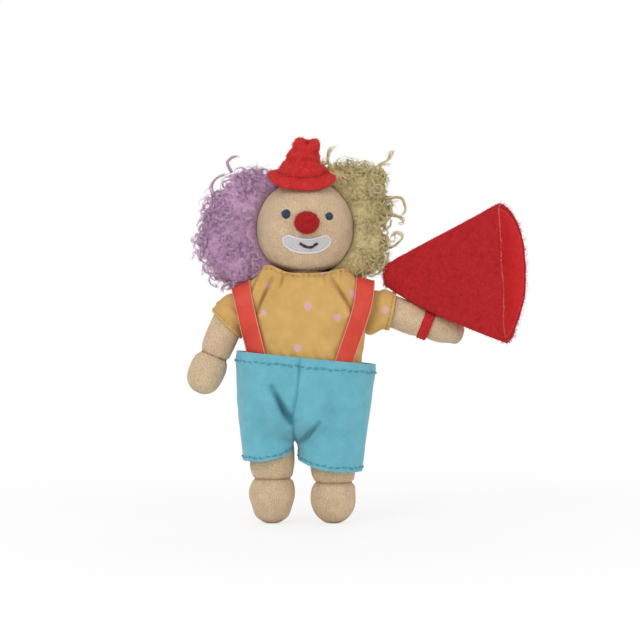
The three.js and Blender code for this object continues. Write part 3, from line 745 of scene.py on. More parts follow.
def crease_thread(name, rings, direction, along, body, node):
    """Three turns of thread drawn round a limb, over its narrowest ring near a distance along it."""
    middles = rings.mean(axis=1)
    s = (middles - middles[0]) @ direction
    girth = np.linalg.norm(rings - middles[:, None], axis=-1).mean(axis=1)
    near = np.where(np.abs(s - along) < 2.5, girth, np.inf)
    k = int(np.argmin(near))
    path = []
    for rise in TIE_TURNS:
        path += list(middles[k] + (rings[k] - middles[k]) * 1.012 + direction * rise)
    dress(single_thread(name, path, TIE_R, THREAD), body, node, slot="thread")


def make_arm(side):
    direction = arm_direction(side)
    top, hand, tip = ARM_TOP[side], HAND_SIZE[side], HAND_TIP[side]
    profile = [(-5.0, 0.3), (-4.2, 2.4 * top), (-2.6, 4.0 * top), (0, 5.2 * top), (5, 5.75), (11, ARM_R),
               (15, 5.7), (17, 5.3), (ELBOW_CREASE, 4.6), (19.2, 5.2 * hand), (21, 6.0 * hand),
               (25, 6.3 * hand), (29, 5.7 * hand * tip), (31.4, 4.1 * tip), (32.5, 2.2), (32.8, 0.3)]
    seed = 1.0 + ARM_ANGLE[side]
    rings = limb_rings(SHOULDER[side], direction, profile, 96, crease=ELBOW_CREASE, seed=seed, oval=0.98)
    reach = (rings - SHOULDER[side]) @ direction
    rings[..., 2] += HAND_LIFT[side] * smoothstep(17, 27, reach)
    arm = closed_body(f"{side}_arm", rings, KNIT, grid_uvs(rings, 2 * math.pi * ARM_R))
    start, end = (SHOULDER[side] + direction * (ELBOW_AT + s) for s in (-ARM_BEND, ARM_BEND))
    bend_between(arm, f"{side}_arm", f"{side}_hand", start, end, f"{side}_arm_skin", f"{side}_arm_stuffing",
                 f"{side}_hand_skin", f"{side}_hand_stuffing", f"{side}_arm_knot", slot="knit")
    crease_thread(f"{side}_elbow_thread", rings, direction, ELBOW_CREASE - profile[0][0], f"{side}_arm",
                  f"{side}_elbow_tie")


def make_leg(side):
    hip = HIP[side]
    crease, floor = hip[2] - ANKLE[side], hip[2]
    profile = [(-6.6, 0.3), (-5.6, 3.6), (-3, 6.2), (1, 7.3), (8, 7.7), (crease - 6, 8.1), (crease - 3, 7.8),
               (crease - 1, 7.2), (crease, 6.3), (crease + 1, 7.3), (crease + 3, 8.05), (crease + 6.6, 8.3),
               (crease + 10, 7.4), (floor - 2.6, 5.9), (floor - 0.9, 3.9), (floor - 0.15, 2.4), (floor, 0.3)]
    rings = limb_rings(hip, DOWN, profile, 110, around=72, crease=crease, seed=5.0 + ANKLE[side])
    rings[..., 2] = np.maximum(rings[..., 2], 0.0)
    leg = closed_body(f"{side}_leg", rings, KNIT, grid_uvs(rings, 2 * math.pi * LEG_R))
    start, end = (hip + DOWN * (crease + s) for s in (-LEG_BEND, LEG_BEND))
    bend_between(leg, f"{side}_leg", f"{side}_foot", start, end, f"{side}_leg_skin", f"{side}_leg_stuffing",
                 f"{side}_foot_skin", f"{side}_foot_stuffing", slot="knit")
    crease_thread(f"{side}_ankle_thread", rings, DOWN, crease - profile[0][0], f"{side}_leg",
                  f"{side}_ankle_tie")


# Torso and shirt

OVAL_POWER = 2.4  # 2 is an ellipse, more is squarer
TORSO_R = 16  # of a round body with the same girth, for the torso's cloth coordinates
NECK_R = 5.5
# Height, half width and half depth of the stuffed torso, and of the shirt over it.
TORSO_SHAPE = [(42.2, 8, 3), (46.4, 16.8, 7), (51, 19.2, 10), (59, 20, 11.6), (69, 21, 11.6), (79, 22, 11.4),
               (83.8, 21, 10.8), (86.8, 18, 9.6), (88.8, 13, 6.6)]
SHIRT_FOOT = 55.4
SHIRT_SHAPE = [(SHIRT_FOOT - 1, 20.8, 12.6), (62, 21.1, 12.6), (69, 22, 12.6), (76, 23, 12.4), (81, 23.2, 12),
               (84.6, 22.4, 11.5), (87.2, 20.6, 11), (89.2, 18.0, 10.6), (90.8, 16.2, 10.3),
               (91.8, 15.4, 10.1)]
NECK_SHAPE = [(86.5, 7.2), (89, 6.2), (92, 5.6), (95, 5.4), (97, 4.8)]  # height and radius
SHIRT_THICK = 0.55
SLEEVE_THICK = 0.5
NECK_STITCH = (2.2, 1.4, 0.22)
SLEEVE_STITCH = (2.2, 1.3, 0.16)
DOT_R = 1.35
# Printed dots, as places across and up: those in front as in the photo, and guessed ones behind.
FRONT_DOTS = [(1.1, 78.4), (-14.6, 76.3), (11.6, 74.4), (-2.5, 63.6), (17.1, 82.9), (-12.8, 85.7), (-3, 91.3),
              (6.7, 91.1)]
BACK_DOTS = [(-16, 83), (-4, 81), (9, 84), (-11, 72), (3, 70), (15, 74), (-17, 61), (-5, 60), (8, 62),
             (20, 64)]
# Folds of the shirt in front, drawn in and darkened by painted shade: start and end across and up, width,
# depth.
SHIRT_CREASES = [((-11.9, 88.6), (-17.6, 75.6), 0.75, 0.75), ((10.0, 88.2), (17.2, 76.6), 0.75, 0.75),
                 ((-16.8, 89.6), (-19.8, 82.5), 0.6, 0.5), ((-7.4, 90.2), (-9.2, 85.0), 0.5, 0.45),
                 ((6.4, 90.0), (7.4, 86.0), 0.5, 0.3), ((-14.4, 63.0), (-16.8, 72.0), 0.8, 0.35)]
SHIRT_RIDGES = [((-9.7, 88), (-15.2, 75), 1.2, 2.1), ((7.6, 87), (14.8, 75.4), 1.3, 2.1),
                ((-15.2, 89.6), (-18.4, 81.5), 0.9, 1.1), ((-6.2, 90.4), (-8.0, 84), 0.8, 0.8)]


def oval_ring(half_width, half_depth, z, angles, power=OVAL_POWER, y=0.0):
    c, s = np.cos(angles), np.sin(angles)
    return np.stack([half_width * np.sign(c) * np.abs(c) ** (2 / power),
                     y + half_depth * np.sign(s) * np.abs(s) ** (2 / power),
                     np.full_like(angles, z)], axis=-1)


def even_angles(count, half_width, half_depth):
    """Angles that space the points of an oval evenly along its edge."""
    dense = np.linspace(0, 2 * math.pi, 2000)
    run = run_along(oval_ring(half_width, half_depth, 0, dense))
    return np.interp(np.linspace(0, run[-1], count, endpoint=False), run, dense)


def make_torso():
    angles = even_angles(64, 21, 11)
    rings = np.array([oval_ring(w, d, z, angles) for z, w, d in spline(TORSO_SHAPE, 40)])
    torso = closed_body("torso", rings, KNIT, grid_uvs(rings, 2 * math.pi * TORSO_R))
    dress(torso, "torso", "torso_skin", "torso_stuffing", slot="knit")


def make_neck():
    angles = full_turn(48)
    rings = np.array([oval_ring(r, r, z, angles, 2) for z, r in spline(NECK_SHAPE, 16)])
    plug = closed_body("neck", rings, KNIT, grid_uvs(rings, 2 * math.pi * NECK_R))
    dress(plug, "neck", "neck_plug", slot="stuffing")


def mark_dots(obj, centres):
    """Marks each point's distance from the edge of the nearest printed dot."""
    def from_edge(points):
        return np.min(np.linalg.norm(points[:, None] - np.asarray(centres)[None], axis=2), axis=1) - DOT_R
    mark(obj, "dot", from_edge)


def shirt_at(x, z, way):
    """The point of the shirt at x and z, in front where way is -1 and behind where it is 1."""
    heights, widths, depths = np.array(SHIRT_SHAPE).T
    share = min(abs(x) / np.interp(z, heights, widths), 0.999) ** OVAL_POWER
    return np.array([x, way * np.interp(z, heights, depths) * (1 - share) ** (1 / OVAL_POWER), z])


def make_shirt():
    angles = even_angles(220, 22, 12)
    rings = np.array([oval_ring(w, d, z, angles) for z, w, d in spline(SHIRT_SHAPE, 120)])
    x, y, z = rings[..., 0], rings[..., 1], rings[..., 2]
    dip = 1.5 * smoothstep(2, -6, y) * (1 - np.clip(np.abs(x + 0.5) / 15, 0, 1) ** 2)
    risen = (2.1 * bump_at(x, -12.8, 4.6) + 0.7 * bump_at(x, 13, 4)) * smoothstep(2, -4, y)
    rings[..., 2] += smoothstep(88, 91.5, z) * (0.3 * wobble(rings * LEVEL, 3.4, 9) - dip + risen)
    out = unit_rows(rings * LEVEL)
    front = smoothstep(2, -6, y)
    crumple = wobble(rings * [0.55, 0.6, 0.28], 4.5, 4.4) * 0.42 + wobble(rings, 2.4, 1.2) * 0.12
    crumple += smoothstep(70, 56, z) * 0.35 * np.sin(x * 1.5 + 2 * np.sin(z * 0.3))
    drawn = 0.7 * creases_at(rings, SHIRT_CREASES) - creases_at(rings, SHIRT_RIDGES)
    gathered = smoothstep(85.5, 90, z) * smoothstep(16, 11, np.abs(x))
    gathers = 0.34 * np.sin(x * 2.3 + np.sin(x * 0.9)) * gathered
    rings += out * (crumple * smoothstep(92.2, 87, z) + (gathers - drawn) * front)[..., None]
    shirt = cloth_sheet("shirt_cloth", rings, SHIRT_THICK, SHIRT, wrap=True)
    mark_dots(shirt, [shirt_at(x, z, -1) for x, z in FRONT_DOTS] + [shirt_at(x, z, 1) for x, z in BACK_DOTS])
    mark_crease_shade(shirt, SHIRT_CREASES)
    dress(shirt, "torso", "shirt_body", slot="shirt_cotton")
    neck_row = np.concatenate([rings[-10], rings[-10][:1]])
    topstitches("shirt_neck_stitches", neck_row, NECK_STITCH, MUSTARD_THREAD, "torso", "shirt_cotton")
    return shirt


def topstitches(name, path, stitch, material, body, slot):
    """Topstitches along a path that lies on cloth, no two quite alike, by pitch, length and radius."""
    pitch, length, radius = stitch
    path = np.asarray(path)
    run = run_along(path)
    middle = path.mean(axis=0) * LEVEL
    bow = np.sin(np.linspace(0, math.pi, 7))
    threads = Threads()
    for s in np.arange(pitch / 2, run[-1] - length / 2, pitch):
        points = stretch_of(path, run, s - length / 2, s + length / 2, 7)
        out = unit_rows(points * LEVEL - middle)
        points = points + out * (0.06 + 0.1 * bow - 0.12 * (1 - bow))[:, None]
        slant = 0.35 * math.sin(s * 2.1) * np.linspace(-1, 1, 7) + 0.22 * math.sin(s * 0.83 + 1)
        points[:, 2] += slant * 0.8
        threads.add(points, radius * (0.6 + 0.4 * bow) * (1 + 0.2 * math.sin(s * 5.3)))
    dress(threads.build(name, material), body, slot=slot)


SLEEVE_HEM = {"right": 6.3, "left": 5.6}  # shoulder to cuff, along the arm
SLEEVE_SLANT = {"right": 0.37, "left": 0.17}  # how much longer the sleeve is on the side towards the body
SLEEVE_SAG = {"right": 0.6, "left": 5.4}  # how far the cloth hangs off the arm underneath
# Dots on each sleeve: along the arm, back from its middle, and across.
SLEEVE_DOTS = {"right": [(3.0, 6.4, 2.4), (-2, 6.6, -3)],
               "left": [(2.6, -6.6, 0.6), (4.2, 6.4, -2.4), (-1, 6.6, 3.0)]}


def make_sleeve(side):
    angle, direction, hem = ARM_ANGLE[side], arm_direction(side), SLEEVE_HEM[side]
    profile = [(-5.9, 0.4), (-5.3, 2.4), (-3.9, 4.2), (-1.6, 5.6), (1.2, 6.4), (hem - 2.0, 6.75),
               (hem - 0.9, 6.8), (hem, 6.7)]
    rings = limb_rings(SHOULDER[side], direction, profile, 70, around=150, seed=11.0 + angle)
    out = unit_rows(rings - rings.mean(axis=1, keepdims=True))
    along = (rings - SHOULDER[side]) @ direction
    fold = wobble(rings, 3.2, 6.0 + angle) * 0.3 + 0.25 * np.sin(along * 1.3 + wobble(rings, 5, 2) * 2)
    loose = smoothstep(-6, -1, along) * smoothstep(hem + 0.4, hem - 3, along)
    rings = rings + out * (fold * loose)[..., None]
    inwards = np.array([-OUTWARD[side] * math.cos(angle), 0, -math.sin(angle)])
    reach = (rings - SHOULDER[side]) @ inwards
    rings = rings + direction * (SLEEVE_SLANT[side] * reach * smoothstep(-3, hem, along))[..., None]
    under = smoothstep(0, 5, reach) * bump_at(along, -1.0, 3.4)
    rings = rings + inwards * (under * SLEEVE_SAG[side])[..., None]
    sleeve = cloth_sheet(f"{side}_sleeve_cloth", rings, SLEEVE_THICK, SHIRT, wrap=True)
    across = unit(np.cross(direction, (0, -1, 0)))
    dots = [SHOULDER[side] + direction * s + (0, b, 0) + across * w for s, b, w in SLEEVE_DOTS[side]]
    mark_dots(sleeve, dots)
    mark_crease_shade(sleeve, [])
    dress(sleeve, f"{side}_arm", f"{side}_sleeve", slot="shirt_cotton")
    cuff = np.concatenate([rings[-9], rings[-9][:1]])
    run, middle = run_along(cuff), rings[-9].mean(axis=0)
    pitch, length, radius = SLEEVE_STITCH
    threads = Threads()
    for s in np.arange(1, run[-1] - 1, pitch):
        points = stretch_of(cuff, run, s - length / 2, s + length / 2, 6)
        threads.add(points + unit_rows(points - middle) * 0.1, radius)
    dress(threads.build(f"{side}_sleeve_stitches", MUSTARD_THREAD), f"{side}_arm", slot="shirt_cotton")
    return sleeve


# Suspenders

RIBBON_WIDTH = 6.4
RIBBON_THICK = 0.8
RIBBON_OUT = 1.25  # how far the ribbon's outside stands off the shirt
RIBBON_TURN_Z = 79.0  # above this height a ribbon turns over the shoulder
RIBBON_FALL = 0.26  # how steeply the stiff ribbon falls off outwards on the chest
RIBBON_SLOPE = {"right": 0.5, "left": 0.3}  # and on the shoulder
# Height and middle of each ribbon in front.
RIBBON_LINE = {
    "right": [(50, -14.5), (62.7, -17.5), (75.1, -20.6), (81, -22.0), (87.4, -23.3)],
    "left": [(50, 10.9), (60, 14.2), (70, 17.6), (79.5, 20.9), (87, 21.7)],
}


def surface_tree(objects):
    """A tree of the objects' faces, in the doll's own millimetres, for finding where rays meet them."""
    corners, faces = [], []
    for obj in objects:
        first = len(corners)
        corners += [Vector(v.co) / MM - Vector(ORIGIN) for v in obj.data.vertices]
        faces += [[first + i for i in polygon.vertices] for polygon in obj.data.polygons]
    return BVHTree.FromPolygons(corners, faces)


def ribbon_on_shirt(side, tree):
    """Rows of points where a ribbon meets the shirt, up in front, over the shoulder and down behind, and
    how far round the shoulder each row is. A point that misses the shirt is not a number."""
    heights = np.linspace(SHIRT_FOOT - 0.5, RIBBON_TURN_Z, 50)
    over = np.linspace(0, math.pi, 50)[1:-1]
    stations = [(z, 0.0) for z in heights] + [(RIBBON_TURN_Z, way) for way in over]
    stations += [(z, math.pi) for z in heights[::-1]]
    line = np.array(RIBBON_LINE[side])
    reach = 40
    rows = []
    for z, way in stations:
        middle = np.interp(z + 9 * math.sin(way), line[:, 0], line[:, 1])
        aim = np.array([0, math.cos(way), -math.sin(way)])
        row = []
        for x in middle + np.linspace(-0.5, 0.5, 9) * RIBBON_WIDTH:
            hit = tree.ray_cast(Vector(np.array([x, 0, z]) - aim * reach), Vector(aim), 2 * reach)[0]
            row.append(np.array(hit) if hit else np.full(3, np.nan))
        rows.append(row)
    return np.array(rows), np.array([way for _, way in stations])[:, None]


def fill_gaps(rows):
    """Draws missing points in between their neighbours along the ribbon."""
    index = np.arange(len(rows))
    for column in np.moveaxis(rows, 1, 0):
        missing = np.isnan(column[:, 0])
        for axis in range(3):
            column[missing, axis] = np.interp(index[missing], index[~missing], column[~missing, axis])


def stiffen(rows, upright, inner):
    """Keeps a ribbon nearly straight across in front and behind: its outer edge can't sag far."""
    apart = np.abs(rows[..., 0] - rows[:, [inner], 0])
    tucked = smoothstep(80, 61, rows[..., 2])
    depth = np.abs(rows[..., 1])
    sloping = np.abs(rows[:, [inner], 1]) - (RIBBON_FALL + 0.5 * tucked) * apart - 1.5 * tucked
    deep = np.where(upright, np.maximum(depth, sloping), depth)
    rows[..., 1] = np.where(rows[..., 1] < 0, -deep, deep)


def stiffen_over_shoulder(rows, ways, upright, inner, fall):
    """The same over the shoulder, where the ribbon may fall off more steeply the nearer it is to the top."""
    apart = np.abs(rows[..., 0] - rows[:, [inner], 0])
    slope = RIBBON_FALL + (fall - RIBBON_FALL) * np.sin(ways)
    centre = np.array([0, RIBBON_TURN_Z])
    out = np.linalg.norm(rows[..., 1:] - centre, axis=-1)
    grown = np.maximum(out, out[:, [inner]] - slope * apart) / np.maximum(out, 1e-6)
    raised = centre + (rows[..., 1:] - centre) * grown[..., None]
    rows[..., 1:] = np.where(upright[..., None], rows[..., 1:], raised)


def ease(rows):
    """Takes the small bumps of the cloth out of a ribbon, mostly along its length."""
    for _ in range(16):
        for _ in range(3):
            rows[1:-1] = (rows[:-2] + 2 * rows[1:-1] + rows[2:]) / 4
        rows[:, 1:-1] = (rows[:, :-2] + 2 * rows[:, 1:-1] + rows[:, 2:]) / 4


def make_suspender(side, tree):
    """A ribbon that lies on the shirt, from inside the waist in front, over the shoulder, to the back."""
    rows, ways = ribbon_on_shirt(side, tree)
    upright = (ways == 0) | (ways == math.pi)
    inner = 0 if side == "left" else -1
    fill_gaps(rows)
    stiffen(rows, upright, inner)
    stiffen_over_shoulder(rows, ways, upright, inner, RIBBON_SLOPE[side])
    ease(rows)
    normals = unit_rows(np.cross(np.gradient(rows, axis=1), np.gradient(rows, axis=0)))
    if normals[20, 4, 1] > 0:
        normals = -normals
    off = normals * RIBBON_OUT
    off[..., 0] *= 0.2
    facing = np.clip(np.abs(normals[..., 1]), 0.6, 1)
    off[..., 1] = np.where(upright, np.sign(normals[..., 1]) * RIBBON_OUT / facing, off[..., 1])
    ribbon = rows + off
    obj = cloth_sheet(f"{side}_suspender_ribbon", ribbon, RIBBON_THICK, RIBBON)
    round_edges(obj, 0.16)
    dress(obj, "torso", f"{side}_suspender", slot="ribbon")
    selvedge = Threads()
    for column in (0, -1):
        selvedge.add((ribbon + normals * 0.1)[:, column], 0.2)
    dress(selvedge.build(f"{side}_suspender_selvedge", SELVEDGE), "torso", slot="ribbon")


# Shorts

SHORTS_THICK = 0.8
# Height and place across of the middle seam and of the outer edge of each half, as seen from the front.
SEAM_LINE = [(22, -3.4), (29.7, -3.4), (38.9, -4.6), (46.5, -3.0), (56, -1.9), (63, -1.8)]
SIDE_LINE = {
    "right": [(22, -22.4), (30, -23.3), (44.6, -24.7), (57.3, -25.1), (63, -24.5)],
    "left": [(18, 20.6), (30, 22.1), (44.6, 23.9), (58, 25.6), (63, 25.7)],
}
SHORTS_DEPTH = [(18, 10.6), (28, 11.4), (36, 12.6), (44, 14.2), (51, 14.9), (57, 14.8), (64, 14.6)]
HEM_Z = {"right": 23.0, "left": 19.1}
HEM_INNER = {"right": -4.3, "left": -2.6}  # where the inner edge of each leg hangs
HEM_SWEEP = {"right": 3.8, "left": 4.6}  # how far the hem rises towards the crotch
HEM_MIDDLE = 20.7
SEAM_OVERLAP = 0.3
CROTCH = np.array([-3.2, -12.0, 30.5])  # where the folds of the front meet
CROTCH_Z = 27.8  # where the two legs part
WAIST_MID = 60.3
WAIST_SLOPE = 0.098  # the waist stands higher on the doll's right
WAIST_STITCH = (2.5, 1.9, 0.33)
HEM_STITCH = (2.5, 1.9, 0.3)
WAIST_STITCHES_AT = 0.085  # as shares of the way from the waist to the hem
HEM_STITCHES_AT = 0.955
# Folds of the shorts in front, as those of the shirt, drawn in and darkened by painted shade. The seam's
# creases only paint shade along it, without drawing it in.
FOLD_CREASES = [((-11.6, 49.6), (-5.2, 37.4), 1.15, 1.0), ((-8.6, 43.2), (-4.8, 37.2), 1.5, 0.6),
                ((5.0, 37.0), (-2.4, 29.6), 0.85, 0.95), ((9.4, 47.0), (8.4, 33.5), 3.2, 0.22),
                ((-16.5, 45.0), (-13.5, 27.0), 2.4, 0.14)]
SEAM_CREASES = [((-1.8, 62.0), (-2.0, 55.0), 0.4, 0.8), ((-2.0, 57.0), (-3.1, 46.0), 0.4, 0.85),
                ((-3.0, 48.0), (-4.8, 38.0), 0.45, 0.95), ((-4.7, 40.0), (-3.4, 28.6), 0.5, 1.0)]
SHORTS_RIDGES = [((-14.2, 46.6), (-8.4, 34.6), 1.8, 1.9), ((2.6, 41.0), (-2.6, 34.8), 2.0, 1.8),
                 ((14.6, 46.0), (13.0, 30.0), 3.0, 0.8)]
BEHIND = 0.35  # how much weaker the folds and their painted shade are behind


def shorts_row(side, t, count):
    """One row of a half of the shorts, from its front seam round the outside to its back seam.
    t runs from 0 at the waist to 1 at the hem."""
    z = WAIST_MID + (HEM_Z[side] - WAIST_MID) * t
    seam, outer = look_up(z, SEAM_LINE), look_up(z, SIDE_LINE[side])
    over = SEAM_OVERLAP * OUTWARD[side] * smoothstep(CROTCH_Z - 1, CROTCH_Z + 3, z)
    sweep = np.linspace(-math.pi / 2, math.pi / 2, count)
    upper = oval_ring(1, look_up(z, SHORTS_DEPTH), z, sweep, 2.5, 0.3)
    upper[:, 0] = seam - over + (outer - seam + over) * upper[:, 0]
    inner = seam - over + (HEM_INNER[side] - seam) * smoothstep(29.5, 25.0, z)
    lower = oval_ring(1, 10.8 + 0.05 * (z - HEM_MIDDLE), z, 2 * sweep, 2.3, 0.5)
    lower[:, 0] = (inner + outer) / 2 + (outer - inner) / 2 * lower[:, 0]
    share = float(smoothstep(CROTCH_Z + 9, CROTCH_Z - 1.4, z))
    row = upper * (1 - share) + lower * share
    row[:, 2] -= WAIST_SLOPE * (row[:, 0] - seam) * (1 - t) ** 2
    inward = 1 - np.abs((row[:, 0] - seam) / (outer - seam))
    row[:, 2] += HEM_SWEEP[side] * np.clip(inward, 0, 1) ** 3 * smoothstep(0.72, 1.0, t)
    return row


def shorts_folds(rows):
    """How far the folds push each point of the shorts out."""
    away = rows - CROTCH
    angle = np.arctan2(away[..., 0], away[..., 2])
    near = np.exp(-np.linalg.norm(away, axis=-1) / 9)
    drawn = -near * (0.3 + 0.5 * np.cos(angle * 4.0))
    drawn += creases_at(rows, SHORTS_RIDGES) - 2.3 * creases_at(rows, FOLD_CREASES)
    return drawn * np.where(rows[..., 1] < 0, 1.0, BEHIND)


def make_shorts(side):
    levels = np.linspace(0, 1, 110)
    rows = np.array([shorts_row(side, t, 150) for t in levels])
    z = rows[..., 2]
    out = unit_rows((rows - np.array([HIP[side][0] * 0.9, 0.3, 0.0])) * LEVEL)
    free = smoothstep(1.0, 0.9, levels)[:, None] * smoothstep(0.0, 0.1, levels)[:, None]
    crumple = wobble(rows * [0.7, 0.7, 0.3], 5, 21.0 + OUTWARD[side]) * 0.5
    crumple += wobble(rows * [1, 1, 0.5], 2.6, 8.0) * 0.18
    from_seam = np.abs(rows[..., 0] - look_up(z, SEAM_LINE))
    above = smoothstep(CROTCH_Z - 2, CROTCH_Z + 3, z)
    out[..., 0] *= 1 - above * smoothstep(3.5, 0.2, from_seam)
    seam_dip = -1.7 * np.exp(-from_seam / 0.6) * above
    rows = rows + out * (crumple * free + shorts_folds(rows) * free + seam_dip)[..., None]
    rows[..., 2] += 0.25 * wobble(rows * LEVEL, 4, 13.0) * smoothstep(0.93, 1.0, levels)[:, None]
    shorts = cloth_sheet(f"{side}_shorts_cloth", rows, SHORTS_THICK, SHORTS)
    mark_crease_shade(shorts, FOLD_CREASES + SEAM_CREASES, BEHIND)
    round_edges(shorts, 0.2)
    start, end = HIP[side] - DOWN * 9.0, HIP[side] + DOWN * 6.0
    bend_between(shorts, "torso", f"{side}_leg", start, end, f"shorts_{side}_half", slot="shorts_cotton")
    waist, hem = (rows[int(len(rows) * share)] for share in (WAIST_STITCHES_AT, HEM_STITCHES_AT))
    topstitches(f"{side}_waist_stitches", waist, WAIST_STITCH, BLUE_THREAD, "torso", "shorts_cotton")
    topstitches(f"{side}_hem_stitches", hem, HEM_STITCH, BLUE_THREAD, f"{side}_leg", "shorts_cotton")


# Hat

HAT_TILT = math.radians(20)  # backwards
HAT_LEAN = math.radians(2)  # to the doll's left
# The crown by rings: height above the middle of the head along the hat's own axis, middle and half width
# to the side, and half depth.
CROWN = [(17.0, -1.9, 5.6, 5.2), (18.4, -1.9, 6.2, 5.8), (20.2, -1.9, 6.6, 6.2), (20.9, -2.0, 7.6, 7.1),
         (21.8, -2.1, 8.2, 7.6), (23.2, -2.0, 7.8, 7.2), (25.0, -1.8, 6.6, 6.2), (27.4, -1.3, 5.7, 5.3),
         (30.0, -0.7, 5.0, 4.6), (31.7, -0.3, 4.4, 4.1), (32.6, -0.2, 3.5, 3.3), (32.7, -0.2, 2.1, 2.0),
         (32.0, -0.2, 0.1, 0.1)]
CROWN_FOLDS = ((29.0, 1.2, 0.4), (25.4, -1.3, 0.5))  # height, slant and depth
BRIM_TOP = 21.3  # height at which the brim leaves the crown
BRIM_EDGE = 19.5
BRIM_THICK = 1.1
BRIM_MIDDLE = -1.9
BRIM_WIDE = (6.7, 5.4)  # half width at the crown, and how much is added to the edge
BRIM_DEEP = (6.2, 4.4)
BRIM_LESS = 1.6  # how much less deep the brim is in front
TIP_RISE = 1.3  # how far the brim's right tip is turned up
HAT_COLS = 140
CROWN_FUZZ = (0.85, 0.032, 2600)
BRIM_FUZZ = (0.75, 0.032, 1800)


def on_hat(points):
    """Points in the hat's own axes to the doll's."""
    ct, st, cl, sl = math.cos(HAT_TILT), math.sin(HAT_TILT), math.cos(HAT_LEAN), math.sin(HAT_LEAN)
    lean = np.array([[cl, 0, sl], [0, 1, 0], [-sl, 0, cl]])
    tilt = np.array([[1, 0, 0], [0, ct, -st], [0, st, ct]])
    return HEAD + np.asarray(points) @ (tilt @ lean).T


def make_crown():
    turns = full_turn(HAT_COLS)
    rows = []
    for h, x, wide, deep in spline(CROWN, 90):
        dented = smoothstep(28, 33, h)
        lump = 0.75 * dented * np.cos(turns * 2 + 0.2) + 0.35 * dented * np.sin(turns)
        rows.append(np.stack([wide * np.cos(turns) + x, deep * np.sin(turns), h + lump], axis=-1))
    rings = np.array(rows)
    out = unit_rows(rings * LEVEL)
    wide = np.linalg.norm(rings[..., :2] - [0.4, 0], axis=-1)
    dents = wobble(rings * [1, 1, 0.6], 4.2, 31.0) * 0.6 + wobble(rings, 1.3, 17.0) * 0.42
    rings += out * (dents * smoothstep(0.5, 3, wide))[..., None]
    for level, slant, depth in CROWN_FOLDS:
        fold = bump_at(rings[..., 2], level + slant * np.sin(turns + level), 0.8) * depth
        rings -= out * (fold * smoothstep(1.5, 4, wide))[..., None]
    crown = closed_body("hat_crown_felt", on_hat(rings), FELT)
    dress(crown, "head", "hat_crown", slot="red_felt")
    return crown


def brim_row(t):
    """A ring of the brim's upper side, from the crown at t = 0 to the edge at t = 1."""
    turns = full_turn(HAT_COLS)
    front = np.maximum(-np.sin(turns), 0)
    rag = 0.012 * np.sin(turns * 5 + 1.0) + 0.008 * np.sin(turns * 17) + 0.005 * np.sin(turns * 31 + 2)
    rag = 1 + smoothstep(0.6, 1.0, t) * rag
    turned_up = TIP_RISE * bump_at(turns, math.pi, 0.55) * t
    raised = turned_up + 1.6 * bump_at(turns, 0, 0.45) * math.sin(math.pi * min(t * 1.25, 1))
    droop = (BRIM_TOP - BRIM_EDGE) * t**1.2 + 1.8 * front**1.5 * t**2 - raised
    droop = droop - 0.45 * (1 - front) * np.cos(turns * 3 + 0.6) * t**2
    wide = BRIM_WIDE[0] + BRIM_WIDE[1] * t
    deep = BRIM_DEEP[0] + (BRIM_DEEP[1] - BRIM_LESS * front) * t
    across = wide * rag * np.cos(turns) + BRIM_MIDDLE
    return np.stack([across, deep * rag * np.sin(turns), BRIM_TOP - droop], axis=-1)


def make_brim():
    upper = np.array([brim_row(t) for t in np.linspace(0, 1, 26)])
    upper[..., 2] += wobble(upper, 2.6, 12.0) * 0.3
    lower = upper[::-1] - np.array([0, 0, BRIM_THICK])
    edge = (upper[-1] + lower[0]) / 2
    edge = edge + unit_rows(edge * LEVEL) * 0.22
    brim = closed_loop("hat_brim_felt", on_hat(np.concatenate([upper, [edge], lower, upper[:1]])), FELT)
    dress(brim, "head", "hat_brim", slot="red_felt")
    return brim


def make_hat():
    crown, brim = make_crown(), make_brim()
    fuzz("hat_crown_fuzz", *surface_samples(crown, 21), FELT, CROWN_FUZZ, 22, "head", "red_felt")
    fuzz("hat_brim_fuzz", *surface_samples(brim, 23), FELT, BRIM_FUZZ, 24, "head", "red_felt")


# Megaphone

CONE_TURN = math.radians(22)  # how far the megaphone points forwards
CONE_START = np.array([29.6, 0.4, 90.2])
CONE_AXIS = np.array([math.cos(CONE_TURN), -math.sin(CONE_TURN), 0])
CONE_ACROSS = np.array([math.sin(CONE_TURN), math.cos(CONE_TURN), 0])
CONE_LENGTH = 45.4
CONE_HALF = (4, 20.7)  # half height at the small end, and how much is added to the mouth
CONE_DEPTH = (6, 15)
CONE_BELLY = 2.1  # how far the lower edge sags
FELT_WALL = 1.1
LINING_WALL = 0.55
MOUTH_TRIM = 2.0  # how much shorter the flat panel is than the bulge behind it
MOUTH_TILT = 1.2  # and how much the mouth leans back at its top
MOUTH_FAR = 1.3  # how far the bulge's edge stands forward
RING_COLS = 96
PANEL_COLS = 32  # of them on the flat panel
CRUMPLE_SEED = 41.0  # the felt and its lining are crumpled alike
CONE_FUZZ = (1.2, 0.042, 5600)
EDGE_FUZZ = (0.8, 0.03, 500)
END_FUZZ = (1.5, 0.05, 1400)
UP = np.array([0, 0, 1.0])


